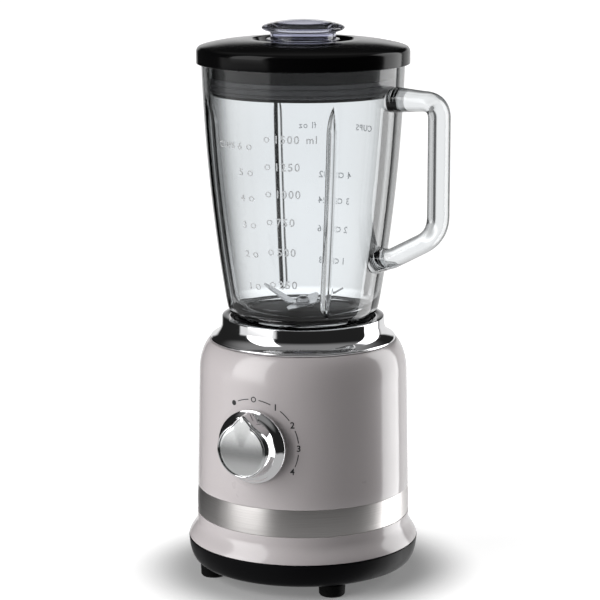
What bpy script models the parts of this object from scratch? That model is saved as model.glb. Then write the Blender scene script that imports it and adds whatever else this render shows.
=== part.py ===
"""Countertop blender with a glass jug, built from the pieces it comes apart into.

Design values are millimetres and degrees; MM turns them into Blender's metres.
+Z is up, the speed dial faces -Y and the jug's handle points along +X.
Heights are above a datum plane that lies FOOT_REACH above the worktop, and radii are
measured from the vertical drive axis that the motor, the blades, the jug and the lid share.
"""
import math

import bmesh
import bpy
from mathutils import Matrix

MM = 0.001
GAP = 0.3                       # clearance between pieces that touch

# Driving dimensions of the outside
FOOT_RADIUS = 9.8
FOOT_CIRCLE = 69.5
FOOT_REACH = 2.1                # how far the feet reach below the datum plane
PLATE_BOTTOM = 7.2
PLATE_FLOOR = 9.7
SKIRT_BOTTOM = 25.3
SKIRT_TOP = 38.6
SKIRT_HEIGHT = 14.8
SKIRT_FLARE = 6.5
BODY_FOOT_RADIUS = 78.9
BODY_TOP_RADIUS = 76.6
SHOULDER_START = 150.0
SHOULDER_WIDTH = 14.6
SHOULDER_RISE = 27.35
HOUSING_TOP = 174.1
WALL = 2.6
BAND_BOTTOM = 44.3
BAND_TOP = 64.1
BAND_THICKNESS = 0.5
COLLAR_TOP = 191.7
COLLAR_BORE = 53.6
COLLAR_NECK = 59.9
COLLAR_FOOT = 67.9
JUG_FOOT_RADIUS = 56.2
JUG_FOOT_HEIGHT = 202.5
JUG_RIM_RADIUS = 73.6
JUG_RIM_HEIGHT = 379.3
JUG_BULGE = 3.1
GLASS = 5.0
NECK_RADIUS = 44.6
NECK_BOTTOM = 178.4
RIDGE_RADIUS = 3.4
HANDLE_REACH = 107.9
HANDLE_HALF_DEPTH = 7.3
HANDLE_HALF_WIDTH = 11.0
HANDLE_TOP = 353.9
LID_RADIUS = 77.2
LID_BOTTOM = 376.9
LID_EDGE = 388.7
CAP_RADIUS = 30.1
CAP_TOP = 408.2
CAP_NECK = 23.7
DIAL_HEIGHT = 109.7
KNOB_RADIUS = 26.9
KNOB_BACK = 78.4                # distance of the knob's back from the drive axis
KNOB_FRONT = 95.5
KNOB_FACE_RADIUS = 19.6
KNOB_TIP_RADIUS = 25.2
KNOB_TIP_ANGLE = 30.0           # half the angle over which the knob's front draws out to its tip
BORE_RADIUS = 3.4
POCKET_DEPTH = 2.6
SCREW_CIRCLE = 71.0
SCREW_ANGLES = (20, 160, 200, 340)
VENT_COUNT = 6
CORD_HEIGHT = 17.6
POST_BOTTOM = 13.0              # lower end of the housing's screw posts
HEAD_SEAT = 9.5                 # where the sunk screw heads bear on the bottom cover

# Driving dimensions of the drive inside
SHAFT_RADIUS = 4.0
STATOR_BOTTOM = 84.0
STATOR_TOP = 118.0
ROTOR_RADIUS = 22.8
SLOTS = 12                      # slots round the rotor
BOLT_REACH = 28.0               # distance of the two motor bolts from the drive axis
BOLT_HOLE = 2.4
LOWER_BRACKET = 54.0
UPPER_BRACKET = 140.0
BRACKET_THICKNESS = 4.0
COMMUTATOR_HEIGHT = 61.0
BRUSH_HEIGHT = 68.3
FAN_HEIGHT = 36.0
SEAT_FLOOR = 170.0
DAMPER_CIRCLE = 33.0
BLADE_HEIGHT = 198.9
BLADE_THICKNESS = 1.2
DRIVER_TOP = 182.3

# The drive axis stands where the whole blender's bounding box is centred on the origin.
AXIS_X = -(HANDLE_REACH + HANDLE_HALF_DEPTH - (BODY_FOOT_RADIUS + SKIRT_FLARE)) / 2
AXIS_Y = (KNOB_FRONT - (BODY_FOOT_RADIUS + SKIRT_FLARE)) / 2

FINE = 28                       # steps round the large turned pieces
MEDIUM = 20
COARSE = 16
TINY = 8

PAINT = ("paint", (0.62, 0.58, 0.57), 0.25, 0.0)
STEEL = ("brushed_steel", (0.55, 0.54, 0.52), 0.35, 1.0)
CHROME = ("chrome", (0.85, 0.85, 0.86), 0.06, 1.0)
SATIN = ("satin_face", (0.75, 0.76, 0.76), 0.3, 1.0)
BLACK = ("black_plastic", (0.015, 0.015, 0.017), 0.45, 0.0)
GLOSS_BLACK = ("gloss_black", (0.008, 0.008, 0.009), 0.12, 0.0)
RUBBER = ("rubber", (0.02, 0.02, 0.02), 0.8, 0.0)
GREY_SEAL = ("seal", (0.25, 0.25, 0.26), 0.6, 0.0)
CLEAR = ("glass", (0.9, 0.93, 0.92), 0.02, 0.0)
SMOKE = ("smoke", (0.22, 0.23, 0.34), 0.05, 0.0)
COPPER = ("copper", (0.72, 0.33, 0.16), 0.35, 1.0)
IRON = ("laminations", (0.28, 0.28, 0.29), 0.5, 1.0)
CARBON = ("carbon", (0.05, 0.05, 0.05), 0.7, 0.0)
BRASS = ("brass", (0.75, 0.55, 0.25), 0.3, 1.0)


# --- Building helpers ---------------------------------------------------------------

def clear_scene():
    for old in list(bpy.data.objects):
        bpy.data.objects.remove(old, do_unlink=True)


def new_collection(name):
    group = bpy.data.collections.new(name)
    bpy.context.scene.collection.children.link(group)
    return group


def make_material(spec):
    name, colour, roughness, metallic = spec
    found = bpy.data.materials.get(name)
    if found:
        return found
    material = bpy.data.materials.new(name)
    material.use_nodes = True
    shader = material.node_tree.nodes["Principled BSDF"]
    shader.inputs["Base Color"].default_value = (*colour, 1.0)
    shader.inputs["Roughness"].default_value = roughness
    shader.inputs["Metallic"].default_value = metallic
    if name in ("glass", "smoke"):
        shader.inputs["Transmission Weight"].default_value = 0.9
    return material


def mesh_of(source):
    """The evaluated mesh of an object, welded; the object itself is removed."""
    graph = bpy.context.evaluated_depsgraph_get()
    mesh = bpy.data.meshes.new_from_object(source.evaluated_get(graph))
    work = bmesh.new()
    work.from_mesh(mesh)
    bmesh.ops.remove_doubles(work, verts=work.verts, dist=0.00001)
    bmesh.ops.recalc_face_normals(work, faces=work.faces)
    work.to_mesh(mesh)
    work.free()
    bpy.data.objects.remove(source, do_unlink=True)
    return mesh


def mesh_object(name, mesh):
    mesh.name = name
    piece = bpy.data.objects.new(name, mesh)
    bpy.context.scene.collection.objects.link(piece)
    return piece


def turned(name, profile, steps=MEDIUM):
    """A profile of (radius, height) points turned round Z, down its outer side."""
    mesh = bpy.data.meshes.new(name)
    points = [(r * MM, 0.0, z * MM) for r, z in profile]
    edges = [(i, i + 1) for i in range(len(points) - 1)]
    if profile[0][0] > 0:
        edges.append((len(points) - 1, 0))
    mesh.from_pydata(points, edges, [])
    piece = mesh_object(name, mesh)
    screw = piece.modifiers.new("turn", "SCREW")
    screw.axis = "Z"
    screw.angle = math.tau
    screw.steps = steps
    screw.render_steps = steps
    screw.use_merge_vertices = True
    screw.merge_threshold = 0.00001
    screw.use_smooth_shade = True
    return piece


def extruded(name, outlines, bottom, top):
    """Flat outlines, the first with the others as holes, extruded between two heights."""
    curve = bpy.data.curves.new(name, "CURVE")
    curve.dimensions = "2D"
    curve.fill_mode = "BOTH"
    curve.extrude = (top - bottom) / 2 * MM
    for outline in outlines:
        spline = curve.splines.new("POLY")
        spline.points.add(len(outline) - 1)
        for point, (x, y) in zip(spline.points, outline):
            point.co = (x * MM, y * MM, 0.0, 1.0)
        spline.use_cyclic_u = True
    source = bpy.data.objects.new(name, curve)
    bpy.context.scene.collection.objects.link(source)
    mesh = mesh_of(source)
    mesh.transform(Matrix.Translation((0.0, 0.0, (top + bottom) / 2 * MM)))
    return mesh_object(name, mesh)


def tube(name, points, radius, resolution=2, closed=False):
    """A round bar along a list of (x, y, z) points."""
    curve = bpy.data.curves.new(name, "CURVE")
    curve.dimensions = "3D"
    curve.bevel_depth = radius * MM
    curve.bevel_resolution = resolution
    curve.use_fill_caps = not closed
    spline = curve.splines.new("POLY")
    spline.points.add(len(points) - 1)
    for point, (x, y, z) in zip(spline.points, points):
        point.co = (x * MM, y * MM, z * MM, 1.0)
    spline.use_cyclic_u = closed
    source = bpy.data.objects.new(name, curve)
    bpy.context.scene.collection.objects.link(source)
    return mesh_object(name, mesh_of(source))


def block(name, low, high):
    """A box between two corners."""
    mesh = bpy.data.meshes.new(name)
    work = bmesh.new()
    bmesh.ops.create_cube(work, size=1.0)
    size = [(b - a) * MM for a, b in zip(low, high)]
    middle = [(a + b) / 2 * MM for a, b in zip(low, high)]
    work.transform(Matrix.Translation(middle) @ Matrix.Diagonal((*size, 1.0)))
    work.to_mesh(mesh)
    work.free()
    return mesh_object(name, mesh)


def pin_hole(name, radius, bottom, top, x=0.0, y=0.0, steps=TINY):
    """An upright cylinder, for a hole's cutter or for a plain post."""
    piece = turned(name, [(0.0, top), (radius, top), (radius, bottom), (0.0, bottom)], steps)
    piece.location = (x * MM, y * MM, 0.0)
    return piece


def face_forward(piece, distance=0.0, height=0.0, rear=False):
    """Lays a piece that was turned round Z down, so that its +Z end faces -Y (or +Y)."""
    quarter = math.radians(-90 if rear else 90)
    piece.rotation_euler = (quarter, 0.0, 0.0)
    piece.location = (0.0, distance * MM, height * MM)
    return piece


def combine(piece, tool, operation):
    """Adds or takes away a helper solid with a Boolean, and puts the helper aside."""
    modifier = piece.modifiers.new(operation.lower(), "BOOLEAN")
    modifier.operation = operation
    modifier.solver = "EXACT"
    modifier.object = tool
    tool.parent = piece
    tool.hide_render = True
    tool.display_type = "WIRE"
    bpy.context.scene.collection.objects.unlink(tool)
    HELPERS.objects.link(tool)
    return piece


def cut(piece, tool):
    return combine(piece, tool, "DIFFERENCE")


def join(piece, tool):
    return combine(piece, tool, "UNION")


def circle(radius, steps, x=0.0, y=0.0):
    angles = [math.tau * i / steps for i in range(steps)]
    return [(x + radius * math.cos(a), y + radius * math.sin(a)) for a in angles]


def arc(x, z, rx, rz, start, end, steps):
    """Points of an elliptical arc, its angles in degrees."""
    angles = [math.radians(start + (end - start) * i / steps) for i in range(steps + 1)]
    return [(x + rx * math.cos(a), z + rz * math.sin(a)) for a in angles]


def bend(start, control, end, steps):
    """Points of a quadratic curve."""
    points = []
    for i in range(steps + 1):
        t = i / steps
        points.append(tuple((1 - t) ** 2 * a + 2 * t * (1 - t) * b + t * t * c
                            for a, b, c in zip(start, control, end)))
    return points


def polar(radius, degrees):
    angle = math.radians(degrees)
    return radius * math.cos(angle), radius * math.sin(angle)


def rounded_path(corners, radii, steps=4):
    """A path through (x, z) corners, each inner corner rounded to its radius."""
    path = [corners[0]]
    for i, radius in enumerate(radii, start=1):
        (ax, az), (bx, bz), (cx, cz) = corners[i - 1], corners[i], corners[i + 1]
        before = math.hypot(ax - bx, az - bz)
        after = math.hypot(cx - bx, cz - bz)
        ux, uz = (ax - bx) / before, (az - bz) / before
        vx, vz = (cx - bx) / after, (cz - bz) / after
        half = math.acos(ux * vx + uz * vz) / 2
        reach = radius / math.tan(half)
        path += bend((bx + ux * reach, bz + uz * reach), (bx, bz),
                     (bx + vx * reach, bz + vz * reach), steps)
    path.append(corners[-1])
    return path


# --- Shared outlines ----------------------------------------------------------------

def body_radius(z):
    """The outside of the painted body: a slight taper, with the skirt's S-curve below."""
    share = (z - SKIRT_TOP) / (SHOULDER_START - SKIRT_TOP)
    radius = BODY_FOOT_RADIUS + (BODY_TOP_RADIUS - BODY_FOOT_RADIUS) * max(share, 0.0)
    drop = min(max((SKIRT_TOP - z) / SKIRT_HEIGHT, 0.0), 1.0)
    return radius + SKIRT_FLARE * drop * drop * (3 - 2 * drop)


def jug_radius(z):
    """The glass wall's outside: straight from foot to rim, with a gentle bulge."""
    share = (z - JUG_FOOT_HEIGHT) / (JUG_RIM_HEIGHT - JUG_FOOT_HEIGHT)
    straight = JUG_FOOT_RADIUS + (JUG_RIM_RADIUS - JUG_FOOT_RADIUS) * share
    return straight + 4 * JUG_BULGE * share * (1 - share)


def drive_star(radius, depth, lobes=6):
    """The lobed outline shared by the drive coupling and its socket."""
    steps = lobes * 6
    outline = []
    for i in range(steps):
        angle = math.tau * i / steps
        outline.append(polar(radius + depth * math.cos(lobes * angle), math.degrees(angle)))
    return outline


# --- Base: casing and trim ----------------------------------------------------------

def base_housing():
    """Painted shell with its shoulder, band recess, screw posts and spindle hole."""
    recess = BAND_THICKNESS + GAP + 0.1
    outer = [(57.0, HOUSING_TOP), (68.9, HOUSING_TOP)]
    outer += arc(BODY_TOP_RADIUS - SHOULDER_WIDTH, SHOULDER_START, SHOULDER_WIDTH, SHOULDER_RISE,
                 58, 0, 4)
    outer += [(body_radius(BAND_TOP + GAP), BAND_TOP + GAP),
              (body_radius(BAND_TOP) - recess, BAND_TOP + GAP),
              (body_radius(BAND_BOTTOM) - recess, BAND_BOTTOM - GAP),
              (body_radius(BAND_BOTTOM), BAND_BOTTOM - GAP)]
    outer += [(body_radius(z), z) for z in (SKIRT_TOP, 34.8, 31.6, 28.5)]
    outer += [(body_radius(26.0), 26.0), (body_radius(26.0) - 0.6, SKIRT_BOTTOM)]
    inner = [(82.7, SKIRT_BOTTOM), (81.5, 28.0), (78.7, 32.0), (BODY_FOOT_RADIUS - WALL, 37.5),
             (BODY_TOP_RADIUS - WALL, SHOULDER_START)]
    inner += arc(BODY_TOP_RADIUS - SHOULDER_WIDTH, SHOULDER_START, SHOULDER_WIDTH - WALL,
                 SHOULDER_RISE - WALL, 18, 52, 2)
    inner += [(66.0, HOUSING_TOP - WALL), (57.0, HOUSING_TOP - WALL)]
    piece = turned("base_housing", outer + inner, FINE)
    for i, angle in enumerate(SCREW_ANGLES):
        x, y = polar(SCREW_CIRCLE, angle)
        web = block(f"post_web_{i + 1}", (SCREW_CIRCLE - 2.0, -1.5, 40.0), (76.8, 1.5, 68.0))
        web.rotation_euler = (0.0, 0.0, math.radians(angle))
        join(piece, web)
        join(piece, pin_hole(f"post_{i + 1}", 4.2, POST_BOTTOM, 62.0, x, y))
        cut(piece, pin_hole(f"post_hole_{i + 1}", 1.7, POST_BOTTOM - 1.0, 32.0, x, y, 8))
    spindle_hole = pin_hole("spindle_hole", 4.5, 60.0, 84.0, steps=16)
    return cut(piece, face_forward(spindle_hole, height=DIAL_HEIGHT))


def trim_band():
    top, bottom = body_radius(BAND_TOP), body_radius(BAND_BOTTOM)
    profile = [(top - BAND_THICKNESS, BAND_TOP), (top, BAND_TOP),
               (bottom, BAND_BOTTOM), (bottom - BAND_THICKNESS, BAND_BOTTOM)]
    return turned("trim_band", profile, FINE)


def chrome_collar():
    """Flared ring that the jug stands in."""
    profile = [(COLLAR_BORE, COLLAR_TOP - 0.8), (COLLAR_BORE + 0.8, COLLAR_TOP),
               (COLLAR_NECK - 1.0, COLLAR_TOP), (COLLAR_NECK - 0.2, COLLAR_TOP - 0.8)]
    profile += bend((COLLAR_NECK, 185.8), (60.6, 179.2), (COLLAR_FOOT - 0.3, 176.4), 4)
    profile += [(COLLAR_FOOT + 0.3, 175.6), (COLLAR_FOOT, HOUSING_TOP + GAP),
                (COLLAR_BORE, HOUSING_TOP + GAP)]
    return turned("chrome_collar", profile, FINE)


def base_plate():
    """Black bottom cover with its locating lip, air vents, screw holes and cord opening."""
    outer = [(78.6, 28.0), (80.4, 28.0), (80.4, SKIRT_BOTTOM - GAP),
             (BODY_FOOT_RADIUS + SKIRT_FLARE, SKIRT_BOTTOM - GAP), (85.0, 21.0)]
    outer += bend((84.6, 18.0), (82.6, PLATE_BOTTOM), (77.5, PLATE_BOTTOM), 4)
    outer.append((12.0, PLATE_BOTTOM))
    inner = [(12.0, PLATE_FLOOR), (76.0, PLATE_FLOOR), (80.6, 14.2), (82.2, 21.0), (78.6, 22.4)]
    piece = turned("base_plate", outer + inner, FINE)
    for i in range(VENT_COUNT):
        vent = block(f"vent_{i + 1}", (24.0, -2.2, 5.0), (46.0, 2.2, 15.0))
        vent.rotation_euler = (0.0, 0.0, math.tau * (i + 0.5) / VENT_COUNT)
        cut(piece, vent)
    for i, angle in enumerate(SCREW_ANGLES):
        x, y = polar(SCREW_CIRCLE, angle)
        join(piece, pin_hole(f"boss_{i + 1}", 6.2, 8.5, POST_BOTTOM - GAP, x, y, COARSE))
        cut(piece, pin_hole(f"plate_hole_{i + 1}", 2.2, 5.0, 15.0, x, y, 8))
        cut(piece, pin_hole(f"head_recess_{i + 1}", 4.0, 4.5, HEAD_SEAT, x, y, COARSE))
    cord_hole = pin_hole("cord_hole", 6.9, 70.0, 90.0, steps=COARSE)
    return cut(piece, face_forward(cord_hole, height=CORD_HEIGHT, rear=True))


def cord_gland():
    """Bush that the mains lead leaves through, at the back."""
    profile = [(3.6, 85.2), (5.2, 85.2), (5.4, 84.2), (6.5, 83.8), (6.5, 77.0), (3.6, 77.0)]
    return face_forward(turned("cord_gland", profile, COARSE), height=CORD_HEIGHT, rear=True)


def foot(index):
    profile = [(0.0, PLATE_BOTTOM - GAP), (FOOT_RADIUS, PLATE_BOTTOM - GAP),
               (FOOT_RADIUS - 0.3, 1.2 - FOOT_REACH), (FOOT_RADIUS - 1.3, -FOOT_REACH), (0.0, -FOOT_REACH)]
    piece = turned(f"foot_{index + 1}", profile, COARSE)
    x, y = polar(FOOT_CIRCLE, 45 + 90 * index)
    piece.location = (x * MM, y * MM, 0.0)
    return piece


def fastener(name, x, y, head, seat, tip, head_radius=3.6, shank_radius=1.4):
    """Upright screw with its head at the bottom."""
    profile = [(0.0, tip), (shank_radius, tip - shank_radius), (shank_radius, seat),
               (head_radius, seat), (head_radius * 0.85, head), (0.0, head)]
    piece = turned(name, profile, TINY)
    piece.location = (x * MM, y * MM, 0.0)
    return piece


def base_screw(index):
    x, y = polar(SCREW_CIRCLE, SCREW_ANGLES[index])
    return fastener(f"base_screw_{index + 1}", x, y, PLATE_BOTTOM + 0.2, HEAD_SEAT - GAP, 28.0)


def jug_seat():
    """Black well inside the collar, with the ring underneath that the motor hangs from."""
    profile = [(7.0, SEAT_FLOOR), (50.9, SEAT_FLOOR), (51.2, 189.0), (53.1, 189.0),
               (53.1, 171.2), (64.0, 171.2), (64.0, 168.0), (38.6, 167.5), (38.6, 156.5),
               (27.4, 156.5), (27.4, 167.0), (7.0, 167.0)]
    piece = turned("jug_seat", profile, FINE)
    for i in range(4):
        x, y = polar(DAMPER_CIRCLE, 45 + 90 * i)
        cut(piece, pin_hole(f"damper_hole_{i + 1}", 2.1, 150.0, 164.5, x, y, 8))
    return piece


# --- Base: motor frame --------------------------------------------------------------

def stadium(half_length, half_width, steps=6):
    """Outline of a bar along Y with round ends."""
    straight = half_length - half_width
    upper = [(half_width * math.cos(math.pi * i / steps),
              straight + half_width * math.sin(math.pi * i / steps)) for i in range(steps + 1)]
    return upper + [(-x, -y) for x, y in upper]


def brace(piece, leg_bottom, leg_top):
    """Adds a leg round each through bolt, and bores both."""
    for side in (-1, 1):
        y = side * BOLT_REACH
        join(piece, pin_hole(f"leg_{side + 2}", 5.0, leg_bottom, leg_top, y=y, steps=8))
        cut(piece, pin_hole(f"leg_hole_{side + 2}", BOLT_HOLE, LOWER_BRACKET - 9.0,
                            UPPER_BRACKET + 9.0, y=y, steps=8))
    return piece


def lower_bracket():
    """Bar across the bottom of the stator, with the lower bearing's seat."""
    piece = extruded("lower_bracket", [stadium(36.0, 13.0), circle(8.4, COARSE)],
                     LOWER_BRACKET, LOWER_BRACKET + BRACKET_THICKNESS)
    return brace(piece, LOWER_BRACKET + 2.0, STATOR_BOTTOM - GAP)


def upper_bracket():
    """Round end plate that the rubber dampers carry, with the upper bearing's seat."""
    top = UPPER_BRACKET + BRACKET_THICKNESS
    piece = turned("upper_bracket", [(11.4, top), (38.5, top), (38.5, UPPER_BRACKET),
                                     (11.4, UPPER_BRACKET)], MEDIUM)
    for i in range(4):
        x, y = polar(DAMPER_CIRCLE, 45 + 90 * i)
        cut(piece, pin_hole(f"bracket_hole_{i + 1}", 2.1, UPPER_BRACKET - 9.0, top + 9.0, x, y, 8))
    return brace(piece, STATOR_TOP + GAP, UPPER_BRACKET + 2.0)


def bearing(name, bottom, height, radius):
    profile = [(SHAFT_RADIUS + GAP, bottom + height), (radius, bottom + height),
               (radius, bottom), (SHAFT_RADIUS + GAP, bottom)]
    return turned(name, profile, COARSE)


def motor_bolt(index):
    y = BOLT_REACH * (1 if index else -1)
    return fastener(f"motor_bolt_{index + 1}", 0.0, y, LOWER_BRACKET - 3.0, LOWER_BRACKET - GAP,
                    UPPER_BRACKET + 8.0, 4.0, 2.0)


def motor_damper(index):
    """Rubber bush between the upper bracket and the seat's ring."""
    bottom, top = UPPER_BRACKET + BRACKET_THICKNESS + GAP, 156.5 - GAP
    profile = [(2.3, top), (4.6, top), (4.6, top - 4.0), (3.8, (top + bottom) / 2),
               (4.6, bottom + 4.0), (4.6, bottom), (2.3, bottom)]
    piece = turned(f"motor_damper_{index + 1}", profile, TINY)
    x, y = polar(DAMPER_CIRCLE, 45 + 90 * index)
    piece.location = (x * MM, y * MM, 0.0)
    return piece


def motor_screw(index):
    x, y = polar(DAMPER_CIRCLE, 45 + 90 * index)
    return fastener(f"motor_screw_{index + 1}", x, y, UPPER_BRACKET - 2.8, UPPER_BRACKET - GAP,
                    163.0, 4.0, 1.6)


def stator_core():
    """Laminated stack with two poles, coil slots, a bore and two bolt holes."""
    corner = 12.0
    outline = []
    for sx, sy, start in ((1, 1, 0), (-1, 1, 90), (-1, -1, 180), (1, -1, 270)):
        outline += arc(sx * (42.0 - corner), sy * (34.0 - corner), corner, corner,
                       start, start + 90, 3)
    slots = [circle(5.6, 10, sx * 27.0, sy * 22.0) for sx in (-1, 1) for sy in (-1, 1)]
    bolts = [circle(BOLT_HOLE, 8, y=side * BOLT_REACH) for side in (-1, 1)]
    bore = circle(ROTOR_RADIUS + 0.7, MEDIUM)
    return extruded("stator_core", [outline, bore] + slots + bolts, STATOR_BOTTOM, STATOR_TOP)


def field_coil(index):
    """Copper winding looped round one pole."""
    side = 1 if index else -1
    half, low, high = 22.0, STATOR_BOTTOM - 4.9, STATOR_TOP + 4.9
    corners = [(0.0, low), (half, low), (half, high), (-half, high), (-half, low), (0.0, low)]
    path = rounded_path(corners, [4.0] * 4, 2)[:-1]
    points = [(side * 27.0, y, z) for y, z in path]
    return tube(f"field_coil_{index + 1}", points, 4.6, closed=True)


def brush_holder(index):
    side = 1 if index else -1
    low, high = sorted((side * 17.0, side * 35.0))
    piece = block(f"brush_holder_{index + 1}", (low, -4.8, BRUSH_HEIGHT - 4.8),
                  (high, 4.8, BRUSH_HEIGHT + 4.8))
    low, high = sorted((side * 10.0, side * 33.5))
    return cut(piece, block(f"brush_bore_{index + 1}", (low, -3.6, BRUSH_HEIGHT - 3.6),
                            (high, 3.6, BRUSH_HEIGHT + 3.6)))


def carbon_brush(index):
    side = 1 if index else -1
    low, high = sorted((side * 13.2, side * 25.5))
    return block(f"carbon_brush_{index + 1}", (low, -3.2, BRUSH_HEIGHT - 3.2),
                 (high, 3.2, BRUSH_HEIGHT + 3.2))


def brush_spring(index):
    """Coil spring that presses the brush on the commutator."""
    side = 1 if index else -1
    turns, per_turn, start, end = 3, 7, 26.5, 32.5
    points = []
    for i in range(turns * per_turn + 1):
        angle = math.tau * i / per_turn
        x = start + (end - start) * i / (turns * per_turn)
        points.append((side * x, 2.6 * math.cos(angle), BRUSH_HEIGHT + 2.6 * math.sin(angle)))
    return tube(f"brush_spring_{index + 1}", points, 0.5, resolution=0)


def speed_switch():
    """Rotary switch behind the dial, with a hole for its spindle."""
    piece = block("speed_switch", (-15.0, -70.0, DIAL_HEIGHT - 14.0), (15.0, -51.0, DIAL_HEIGHT + 14.0))
    hole = pin_hole("switch_bore", 3.5, 57.0, 80.0, steps=12)
    return cut(piece, face_forward(hole, height=DIAL_HEIGHT))


# --- Motor: what spins --------------------------------------------------------------

def rotor_shaft():
    profile = [(0.0, 181.5), (SHAFT_RADIUS - 0.6, 181.5), (SHAFT_RADIUS, 180.9),
               (SHAFT_RADIUS, 32.6), (SHAFT_RADIUS - 0.6, 32.0), (0.0, 32.0)]
    return turned("rotor_shaft", profile, 12)


def rotor_core():
    """Slotted rotor stack."""
    outline = []
    for i in range(SLOTS):
        middle = 360 / SLOTS * i
        for angle, radius in ((-11, ROTOR_RADIUS), (0, ROTOR_RADIUS), (11, ROTOR_RADIUS),
                              (13, 18.5), (17, 18.5)):
            outline.append(polar(radius, middle + angle))
    hole = circle(SHAFT_RADIUS + GAP, 12)
    return extruded("rotor_core", [outline, hole], STATOR_BOTTOM, STATOR_TOP)


def armature_winding():
    """Copper end turns above and below the rotor, joined by a bar in each slot."""
    def end_turn(name, low, high):
        return turned(name, [(6.0, high), (17.0, high), (20.3, high - 3.0), (20.3, low),
                             (6.0, low)], COARSE)
    piece = end_turn("armature_winding", STATOR_TOP + GAP, STATOR_TOP + 10.0)
    join(piece, end_turn("lower_turns", STATOR_BOTTOM - 7.0, STATOR_BOTTOM - GAP))
    for i in range(SLOTS):
        x, y = polar(19.6, 360 / SLOTS * (i + 0.5))
        join(piece, pin_hole(f"slot_bar_{i + 1}", 0.7, STATOR_BOTTOM - 3.0, STATOR_TOP + 3.0, x, y, 4))
    return piece


def commutator():
    top = COMMUTATOR_HEIGHT + 15.0
    profile = [(SHAFT_RADIUS + GAP, top), (14.0, top), (14.0, top - 0.8), (12.8, top - 0.8),
               (12.8, COMMUTATOR_HEIGHT), (SHAFT_RADIUS + GAP, COMMUTATOR_HEIGHT)]
    return turned("commutator", profile)


def cooling_fan():
    """Disc with upright vanes and a hub on the shaft's lower end."""
    radius, blades = 33.0, 8
    piece = turned("cooling_fan", [(SHAFT_RADIUS + GAP, FAN_HEIGHT + 12.0), (8.0, FAN_HEIGHT + 12.0),
                                   (8.0, FAN_HEIGHT + 1.8), (radius, FAN_HEIGHT + 1.8),
                                   (radius, FAN_HEIGHT), (SHAFT_RADIUS + GAP, FAN_HEIGHT)], 24)
    for i in range(blades):
        vane = block(f"vane_{i + 1}", (7.0, -0.8, FAN_HEIGHT + 1.0), (radius - 1.0, 0.8, FAN_HEIGHT + 11.0))
        vane.rotation_euler = (0.0, 0.0, math.tau * i / blades)
        join(piece, vane)
    return piece


def drive_coupling():
    """Lobed driver at the top of the motor shaft, in the bottom of the well."""
    bore = circle(SHAFT_RADIUS + GAP, 12)
    return extruded("drive_coupling", [drive_star(9.4, 1.6), bore], 175.0, DRIVER_TOP)


# --- Dial ---------------------------------------------------------------------------

def teardrop(degrees):
    """Radius of the knob's front at an angle from its pointer: a circle drawn out to a blunt tip."""
    share = min(abs(degrees) / KNOB_TIP_ANGLE, 1.0)
    swell = (1 + math.cos(math.pi * share ** 0.75)) / 2
    return KNOB_FACE_RADIUS + (KNOB_TIP_RADIUS - KNOB_FACE_RADIUS) * swell


def teardrop_solid(name, rows):
    """A closed solid facing -Y. Each row is a depth from the knob's back with either a plain
    radius, or a distance out from the teardrop and the least radius allowed there."""
    angles = [-30, -24, -18, -13, -9, -6, -3, 0, 3, 6, 9, 13, 18, 24, 30] + list(range(45, 330, 15))
    points = []
    for depth, size, least in rows:
        for degrees in angles:
            turn = degrees if degrees <= 180 else degrees - 360
            radius = size if least is None else max(teardrop(turn) + size, least)
            x, y = polar(radius, 90 - degrees)
            points.append((x * MM, y * MM, depth * MM))
    count = len(angles)
    faces = []
    for row in range(len(rows)):
        first, second = row * count, (row + 1) % len(rows) * count
        for k in range(count):
            n = (k + 1) % count
            faces.append((first + k, first + n, second + n, second + k))
    mesh = bpy.data.meshes.new(name)
    mesh.from_pydata(points, [], faces)
    work = bmesh.new()
    work.from_mesh(mesh)
    bmesh.ops.remove_doubles(work, verts=work.verts, dist=0.00001)
    bmesh.ops.dissolve_degenerate(work, edges=work.edges, dist=0.00001)
    bmesh.ops.recalc_face_normals(work, faces=work.faces)
    work.to_mesh(mesh)
    work.free()
    return face_forward(mesh_object(name, mesh), -KNOB_BACK)


def knob():
    """Stepped conical knob drawn out to a pointer, hollowed in front for its face."""
    depth = KNOB_FRONT - KNOB_BACK
    return teardrop_solid("knob", [
        (0.0, BORE_RADIUS, None), (0.0, KNOB_RADIUS, None), (2.2, KNOB_RADIUS, None),
        (3.8, 0.3, 25.4), (5.0, 1.0, 23.2), (6.4, 1.5, 21.4), (depth - 0.6, 0.0, 0.0),
        (depth - 0.3, -0.4, 0.0), (depth - 0.3, -1.0, 0.0), (depth - POCKET_DEPTH, -1.0, 0.0),
        (depth - POCKET_DEPTH, BORE_RADIUS, None)])


def knob_face():
    """Satin plate set into the knob's front, a little domed."""
    depth = KNOB_FRONT - KNOB_BACK
    return teardrop_solid("knob_face", [
        (depth, 0.0, None), (depth - 0.1, 9.0, None), (depth - 0.5, -1.9, 0.0),
        (depth - 0.8, -1.0 - GAP, 0.0), (depth - 2.2, -1.0 - GAP, 0.0), (depth - 2.2, 0.0, None)])


def switch_spindle():
    """Spindle from the rotary switch through the housing into the knob."""
    reach = KNOB_FRONT - POCKET_DEPTH - GAP
    profile = [(0.0, reach), (2.5, reach), (3.0, reach - 0.6), (3.0, 58.0), (0.0, 58.0)]
    return face_forward(turned("switch_spindle", profile, 12))


# --- Jug ----------------------------------------------------------------------------

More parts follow.
